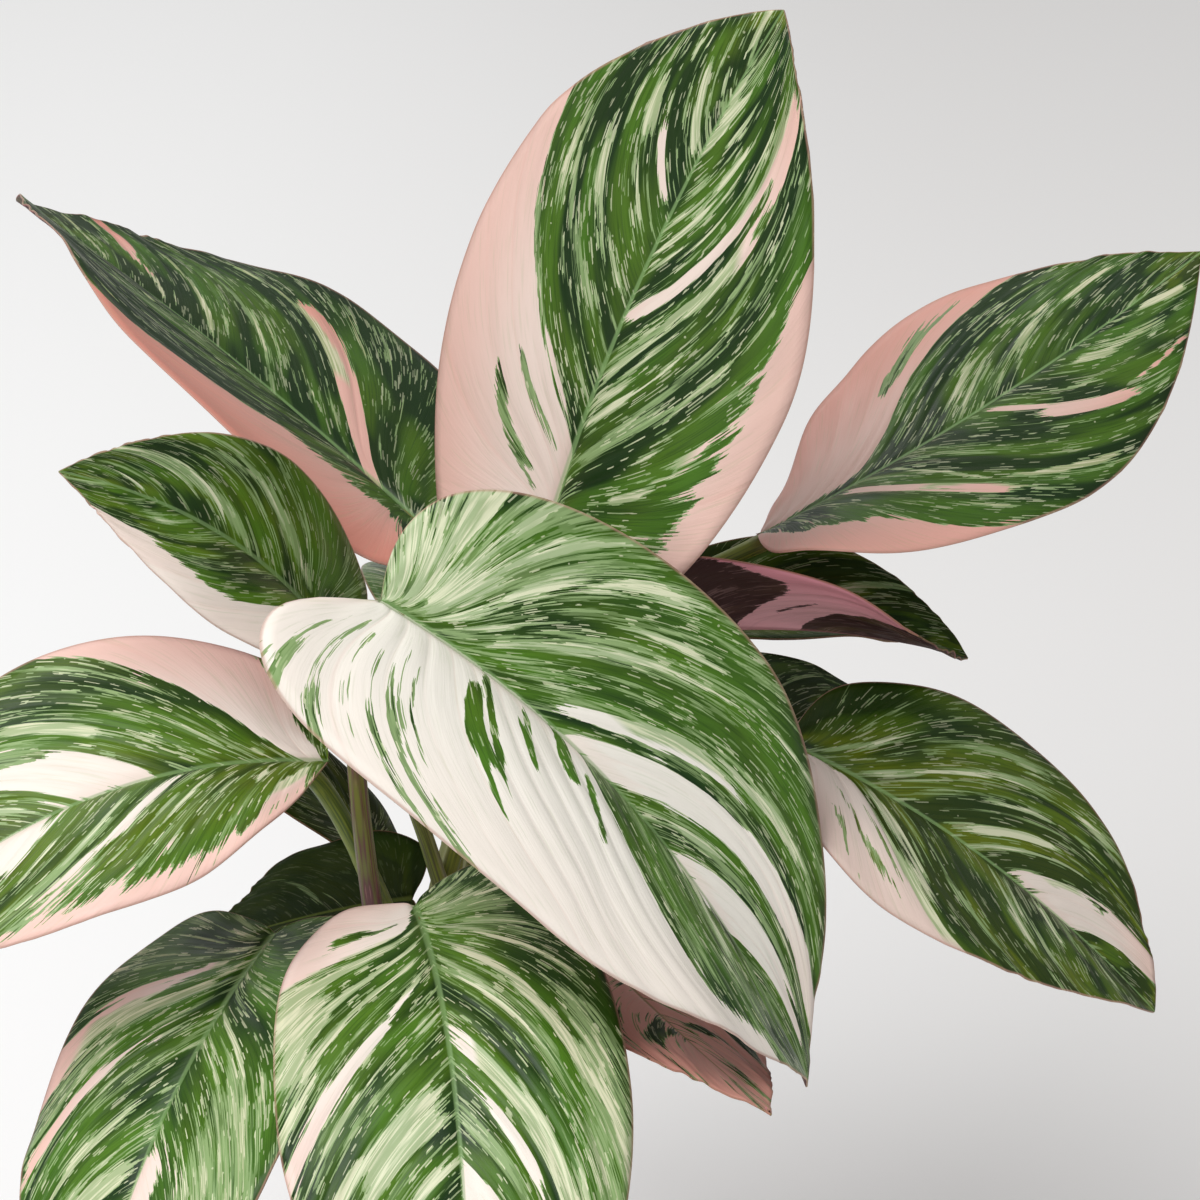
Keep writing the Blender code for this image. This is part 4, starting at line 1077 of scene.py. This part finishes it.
def stalk_skin():
    skin, tree, shader = new_skin("leaf stalk", 0.42)
    share, facing = surface_number(tree, "share"), surface_number(tree, "facing")
    purple, dim, seed = surface_triple(tree, "tone")

    def drawn_out(round_scale, long_scale, detail):
        """Noise drawn out along the stalk."""
        across, along = calc(tree, 'MULTIPLY', facing, round_scale), calc(tree, 'MULTIPLY', share, long_scale)
        return noise(tree, triple(tree, across, along, seed), 1.0, detail)

    broad = drawn_out(5.0, 9.0, 2.0)
    fine = drawn_out(26.0, 30.0, 1.0)
    colour = blend_colour(tree, ramp(tree, broad, 0.35, 0.65),
                          (0.065, 0.125, 0.004, 1), (0.20, 0.26, 0.012, 1))
    flushed = calc(tree, 'MULTIPLY', ramp(tree, broad, 0.58, 0.38), ramp(tree, share, 0.0, 0.9, 1.0, 0.6))
    colour = blend_colour(tree, calc(tree, 'MULTIPLY', purple, ramp(tree, flushed, 0.0, 0.6, 0.35, 1.0)),
                          colour, (0.115, 0.030, 0.030, 1))
    colour = blend_colour(tree, calc(tree, 'MULTIPLY', purple, ramp(tree, fine, 0.6, 0.72, 0.0, 0.5)), colour,
                          (0.42, 0.20, 0.17, 1))
    lip = calc(tree, 'MULTIPLY', ramp(tree, facing, 0.52, 0.68), surface_number(tree, "open_sheath"))
    colour = blend_colour(tree, calc(tree, 'MULTIPLY', lip, 0.55), colour, (0.34, 0.33, 0.13, 1))
    colour = blend_colour(tree, calc(tree, 'MULTIPLY', surface_number(tree, "joint_share"), 0.6), colour,
                          (0.24, 0.22, 0.07, 1))
    colour = blend_colour(tree, ramp(tree, share, 0.10, 0.0, 0.0, 0.55), colour, (0.22, 0.12, 0.07, 1))
    # Painted shade: a dim stalk, deep in the plant, is blended towards a near-black green.
    colour = blend_colour(tree, calc(tree, 'MULTIPLY', dim, 0.7), colour, (0.014, 0.020, 0.006, 1))
    tree.links.new(colour, shader.inputs["Base Color"])
    bump = tree.nodes.new('ShaderNodeBump')
    bump.inputs["Strength"].default_value = 0.3
    bump.inputs["Distance"].default_value = 0.0003
    tree.links.new(fine, bump.inputs["Height"])
    tree.links.new(bump.outputs[0], shader.inputs["Normal"])
    return skin


stalk_finish = stalk_skin()
stalk_sweep = stalk_tree()
for index, leaf in enumerate(LEAVES):
    stalk = grown("stalk_" + leaf.name, stalk_route(leaf), stalk_sweep, {"Material": stalk_finish})
    stalk.data.shade_smooth()
    purple, dim = STALK_TONES.get(leaf.name, USUAL_TONE)
    store(stalk.data, "tone", np.tile([purple, dim, 2.0 + 5.1 * index], (len(stalk.data.vertices), 1)))
    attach(stalk, "root")
    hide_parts("leaf_" + leaf.name + "_stalk")
print("stalks:", len(LEAVES), "with", len(stalk.data.vertices), "points each")

# %% [markdown]
# ## The pot
# The photograph ends above the pot, so this is the plain clay pot that such a plant is sold in:
# turned on a wheel, with a band round the rim and drain holes in its floor. A profile turned
# about the upright axis gives its form, and a tree drills the holes.

# %% Turn the pot
POT_WALL = 5.0
POT_FLOOR = 7.0
POT_BAND_STEP = 3.5
POT_BAND_HEIGHT = 20.0
POT_BASE_RADIUS = 48.0
POT_EDGE = 1.2
EDGE_STEPS = 4
pot_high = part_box("pot")[1] / MM
TURNED_STEPS = 160


def wall_radius(height):
    """Outside of the plain wall, under the band."""
    return POT_BASE_RADIUS + (pot_high.x - POT_BAND_STEP - POT_BASE_RADIUS) * height / pot_high.z


def rounded(corners, radius):
    """The same profile with an arc for each inner corner of it."""
    line = [corners[0]]
    for before, here, after in zip(corners, corners[1:], corners[2:]):
        before, here, after = (np.array(corner, float) for corner in (before, here, after))
        reach = min(radius, np.linalg.norm(before - here) / 2, np.linalg.norm(after - here) / 2)
        start = here + (before - here) / np.linalg.norm(before - here) * reach
        end = here + (after - here) / np.linalg.norm(after - here) * reach
        for step in range(EDGE_STEPS + 1):
            t = step / EDGE_STEPS
            line.append((1 - t) ** 2 * start + 2 * (1 - t) * t * here + t * t * end)
    return line + [corners[-1]]


def turned(name, profile):
    """A mesh turned about the upright axis from a profile of (radius, height)."""
    mesh = bpy.data.meshes.new(name)
    mesh.from_pydata([(radius * MM, 0.0, height * MM) for radius, height in profile],
                     [(k, k + 1) for k in range(len(profile) - 1)], [])
    carrier = bpy.data.objects.new(name, mesh)
    bpy.context.scene.collection.objects.link(carrier)
    screw = carrier.modifiers.new("turn", 'SCREW')
    screw.steps = screw.render_steps = TURNED_STEPS
    screw.use_merge_vertices = True
    screw.merge_threshold = MERGE
    made = bpy.data.meshes.new_from_object(carrier.evaluated_get(bpy.context.evaluated_depsgraph_get()))
    bpy.data.objects.remove(carrier)
    return made


def drilling_tree():
    """Drills round holes, evenly on a ring, through the floor of a pot."""
    tree, given, result = start_tree("drain holes", {
        "Holes": ('NodeSocketInt', 5), "Ring Radius": ('NodeSocketFloat', 0.026),
        "Hole Radius": ('NodeSocketFloat', 0.004), "Depth": ('NodeSocketFloat', 0.03),
        "Material": ('NodeSocketMaterial', None)})
    ring = tree.nodes.new('GeometryNodeMeshCircle')
    tree.links.new(given["Holes"], ring.inputs["Vertices"])
    tree.links.new(given["Ring Radius"], ring.inputs["Radius"])
    drill = tree.nodes.new('GeometryNodeMeshCylinder')
    drill.inputs["Vertices"].default_value = 32
    tree.links.new(given["Hole Radius"], drill.inputs["Radius"])
    tree.links.new(given["Depth"], drill.inputs["Depth"])
    drills = tree.nodes.new('GeometryNodeInstanceOnPoints')
    tree.links.new(ring.outputs[0], drills.inputs["Points"])
    tree.links.new(drill.outputs[0], drills.inputs["Instance"])
    solid = tree.nodes.new('GeometryNodeRealizeInstances')
    tree.links.new(drills.outputs[0], solid.inputs[0])
    cut = tree.nodes.new('GeometryNodeMeshBoolean')
    tree.links.new(given["Geometry"], cut.inputs["Mesh 1"])
    tree.links.new(solid.outputs[0], cut.inputs["Mesh 2"])
    return finish_tree(tree, cut.outputs[0], given["Material"], result)


def clay_skin():
    """Fired clay: fine grain, soft bands from the wheel, and a faint bloom of lime."""
    skin, tree, shader = new_skin("fired clay", 0.85)
    place = tree.nodes.new('ShaderNodeTexCoord').outputs["Object"]
    grain = noise(tree, place, 900.0, 3.0)
    cloud = noise(tree, place, 28.0, 3.0)
    height = tree.nodes.new('ShaderNodeSeparateXYZ')
    tree.links.new(place, height.inputs[0])
    bands = noise(tree, triple(tree, 0.0, 0.0, calc(tree, 'MULTIPLY', height.outputs[2], 700.0)), 1.0, 1.0)
    colour = blend_colour(tree, ramp(tree, cloud, 0.3, 0.7), (0.44, 0.17, 0.085, 1), (0.56, 0.25, 0.14, 1))
    colour = blend_colour(tree, ramp(tree, grain, 0.35, 0.7, 0.0, 0.35), colour, (0.33, 0.12, 0.06, 1))
    low_down = ramp(tree, height.outputs[2], 0.07, 0.0, 0.1, 0.5)
    lime = calc(tree, 'MULTIPLY', ramp(tree, cloud, 0.52, 0.72), low_down)
    colour = blend_colour(tree, lime, colour, (0.66, 0.50, 0.40, 1))
    tree.links.new(colour, shader.inputs["Base Color"])
    bump = tree.nodes.new('ShaderNodeBump')
    bump.inputs["Strength"].default_value = 0.35
    bump.inputs["Distance"].default_value = 0.0004
    tree.links.new(calc(tree, 'ADD', grain, bands), bump.inputs["Height"])
    tree.links.new(bump.outputs[0], shader.inputs["Normal"])
    return skin


def smooth_sharp(mesh, degrees=40.0):
    """Smooth shading, with the edges sharper than this kept crisp."""
    mesh.shade_smooth()
    mesh.set_sharp_from_angle(angle=math.radians(degrees))


band = pot_high.z - POT_BAND_HEIGHT
pot_profile = [(0, POT_FLOOR)] + rounded([
    (12, POT_FLOOR), (wall_radius(POT_FLOOR) - POT_WALL, POT_FLOOR),
    (wall_radius(pot_high.z) - POT_WALL, pot_high.z), (pot_high.x, pot_high.z),
    (wall_radius(band) + POT_BAND_STEP, band), (wall_radius(band), band),
    (POT_BASE_RADIUS, 0), (12, 0)], POT_EDGE) + [(0, 0)]
pot = grown("clay_pot", turned("pot_turned", pot_profile), drilling_tree(), {"Material": clay_skin()})
smooth_sharp(pot.data)
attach(pot, "root")
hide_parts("pot")
print("pot:", len(pot.data.polygons), "faces")

# %% [markdown]
# ## The soil
# Potting soil is dark crumbs with chips of bark and a few white grains of expanded glass. The body
# of soil is turned to fit the pot. A tree makes its top uneven and scatters the grains on it,
# each one turned and stretched at random, with a number of its own that picks its colour.

# %% Soil and its grains
SOIL_RINGS = 26
SOIL_CHAMFER = 2.5
WALL_GAP = 0.3              # millimetres between the soil and the clay
FULL_TURN = (6.28, 6.28, 6.28)   # radians about each axis


def soil_tree():
    tree, given, result = start_tree("soil grains", {
        "Roughness Height": ('NodeSocketFloat', 0.0016), "Grains": ('NodeSocketFloat', 330000.0),
        "Smallest": ('NodeSocketFloat', 0.0004), "Largest": ('NodeSocketFloat', 0.0017),
        "Seed": ('NodeSocketInt', 4), "Material": ('NodeSocketMaterial', None)})
    place = tree.nodes.new('GeometryNodeInputPosition').outputs[0]
    normal = tree.nodes.new('GeometryNodeInputNormal').outputs[0]
    facing_up = vector_calc(tree, 'DOT_PRODUCT', normal, (0, 0, 1), output=1)
    on_top = calc(tree, 'GREATER_THAN', facing_up, 0.7)
    bumps = calc(tree, 'SUBTRACT', noise(tree, place, 160.0, 3.0, 0.6), 0.5)
    lift = calc(tree, 'MULTIPLY', calc(tree, 'MULTIPLY', bumps, given["Roughness Height"]), on_top)
    rough = tree.nodes.new('GeometryNodeSetPosition')
    tree.links.new(given["Geometry"], rough.inputs["Geometry"])
    tree.links.new(triple(tree, 0.0, 0.0, lift), rough.inputs["Offset"])
    spread = tree.nodes.new('GeometryNodeDistributePointsOnFaces')
    tree.links.new(rough.outputs[0], spread.inputs["Mesh"])
    tree.links.new(on_top, spread.inputs["Selection"])
    tree.links.new(given["Grains"], spread.inputs["Density"])
    tree.links.new(given["Seed"], spread.inputs["Seed"])
    kept = tree.nodes.new('GeometryNodeStoreNamedAttribute')
    kept.inputs["Name"].default_value = "grain"
    tree.links.new(spread.outputs["Points"], kept.inputs["Geometry"])
    tree.links.new(chance(tree, 'FLOAT', 0.0, 1.0, 11), kept.inputs["Value"])
    crumb = tree.nodes.new('GeometryNodeMeshIcoSphere')
    crumb.inputs["Radius"].default_value = 1.0
    crumb.inputs["Subdivisions"].default_value = 1
    grains = tree.nodes.new('GeometryNodeInstanceOnPoints')
    tree.links.new(kept.outputs[0], grains.inputs["Points"])
    tree.links.new(crumb.outputs[0], grains.inputs["Instance"])
    smallest, largest = (triple(tree, *[given[size]] * 3) for size in ("Smallest", "Largest"))
    tree.links.new(chance(tree, 'FLOAT_VECTOR', smallest, largest, 7), grains.inputs["Scale"])
    tree.links.new(chance(tree, 'FLOAT_VECTOR', (0, 0, 0), FULL_TURN, 5), grains.inputs["Rotation"])
    both = tree.nodes.new('GeometryNodeJoinGeometry')
    tree.links.new(rough.outputs[0], both.inputs[0])
    tree.links.new(grains.outputs[0], both.inputs[0])
    return finish_tree(tree, both.outputs[0], given["Material"], result)


def chance(tree, kind, low, high, seed):
    """A random number, or triple, for each point."""
    node = tree.nodes.new('FunctionNodeRandomValue')
    node.data_type = kind
    node.inputs["Seed"].default_value = seed
    low_socket, high_socket = [socket for socket in node.inputs if socket.enabled][:2]
    join(tree, low_socket, low)
    join(tree, high_socket, high)
    return [socket for socket in node.outputs if socket.enabled][0]


def soil_skin():
    skin, tree, shader = new_skin("potting soil", 0.95)
    place = tree.nodes.new('ShaderNodeTexCoord').outputs["Object"]
    grain = surface_number(tree, "grain")
    fine = noise(tree, place, 700.0, 2.0)
    colour = blend_colour(tree, ramp(tree, fine, 0.3, 0.7),
                          (0.020, 0.012, 0.007, 1), (0.060, 0.036, 0.020, 1))
    colour = blend_colour(tree, ramp(tree, grain, 0.55, 0.57), colour, (0.105, 0.055, 0.026, 1))
    colour = blend_colour(tree, ramp(tree, grain, 0.84, 0.85), colour, (0.20, 0.115, 0.058, 1))
    colour = blend_colour(tree, ramp(tree, grain, 0.955, 0.96), colour, (0.68, 0.66, 0.61, 1))
    tree.links.new(colour, shader.inputs["Base Color"])
    return skin


def soil_radius(height):
    return wall_radius(height) - POT_WALL - WALL_GAP


soil_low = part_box("soil")[0].z / MM
rings = [soil_high.x * ring / SOIL_RINGS for ring in range(SOIL_RINGS + 1)]
soil_profile = [(radius, soil_height(radius)) for radius in rings] + [
    (soil_radius(soil_low + SOIL_CHAMFER), soil_low + SOIL_CHAMFER),
    (soil_radius(soil_low) - SOIL_CHAMFER, soil_low), (0, soil_low)]
soil = grown("soil_and_grains", turned("soil_turned", soil_profile), soil_tree(), {"Material": soil_skin()})
smooth_sharp(soil.data)
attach(soil, "root")
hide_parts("soil")
print("soil:", len(soil.data.polygons), "faces")

# %% [markdown]
# ## Floor, light and colour
# A plain pale floor fills the background, as the paper behind the plant does in the photograph.
# The light is a bright overcast: a pale sky all round and a broad window at the upper left, in front
# of the plant. A weaker lamp stands behind it at the left, for the leaves that lean that way. So the
# undersides of the leaves stay dark. The heart of the plant is darker still through painted shade on
# its inner leaves and stalks, and the paper is a painted gradient of light, paler to the left.

# %% Floor
# Painted light: the paper is paler to the left and greyer to the right, for the fall of the light across it.
PAPER_LIT_LEFT = (0.95, 0.95, 0.95, 1)
PAPER_SHADED_RIGHT = (0.84, 0.83, 0.825, 1)
PAINTED_LIGHT_FADE = (-0.35, 0.35)  # metres, from left to right

floor_mesh = bpy.data.meshes.new("floor")
bm = bmesh.new()
bmesh.ops.create_grid(bm, x_segments=1, y_segments=1, size=6.0)
bm.to_mesh(floor_mesh)
bm.free()
floor = bpy.data.objects.new("floor", floor_mesh)
bpy.context.scene.collection.objects.link(floor)
paper, paper_tree, paper_shader = new_skin("pale paper", 0.9)
to_the_right = paper_tree.nodes.new('ShaderNodeSeparateXYZ')
paper_tree.links.new(paper_tree.nodes.new('ShaderNodeTexCoord').outputs["Object"], to_the_right.inputs[0])
paper_shade = ramp(paper_tree, to_the_right.outputs[0], *PAINTED_LIGHT_FADE)
paper_colour = blend_colour(paper_tree, paper_shade, PAPER_LIT_LEFT, PAPER_SHADED_RIGHT)
paper_tree.links.new(paper_colour, paper_shader.inputs["Base Color"])
floor_mesh.materials.append(paper)

# %% Lights
SKY_COLOUR = (1.0, 0.995, 0.985, 1)
SKY_STRENGTH = 0.46


def lamp(name, place, size, power):
    """A square lamp that shines on the heart of the plant."""
    made = bpy.data.objects.new(name, bpy.data.lights.new(name, 'AREA'))
    made.data.shape = 'SQUARE'
    made.data.size = size
    made.data.energy = power
    made.location = place
    made.rotation_euler = (AIM - Vector(place)).to_track_quat('-Z', 'Y').to_euler()
    bpy.context.scene.collection.objects.link(made)


lamp("window", (-1.1, -1.2, 2.6), 2.2, 71)
lamp("far_side", (-1.4, 2.2, 2.4), 1.6, 14)
sky = bpy.data.worlds.new("overcast")
bpy.context.scene.world = sky
sky.use_nodes = True
sky.node_tree.nodes["Background"].inputs[0].default_value = SKY_COLOUR
sky.node_tree.nodes["Background"].inputs[1].default_value = SKY_STRENGTH
bpy.context.scene.view_settings.view_transform = 'Standard'
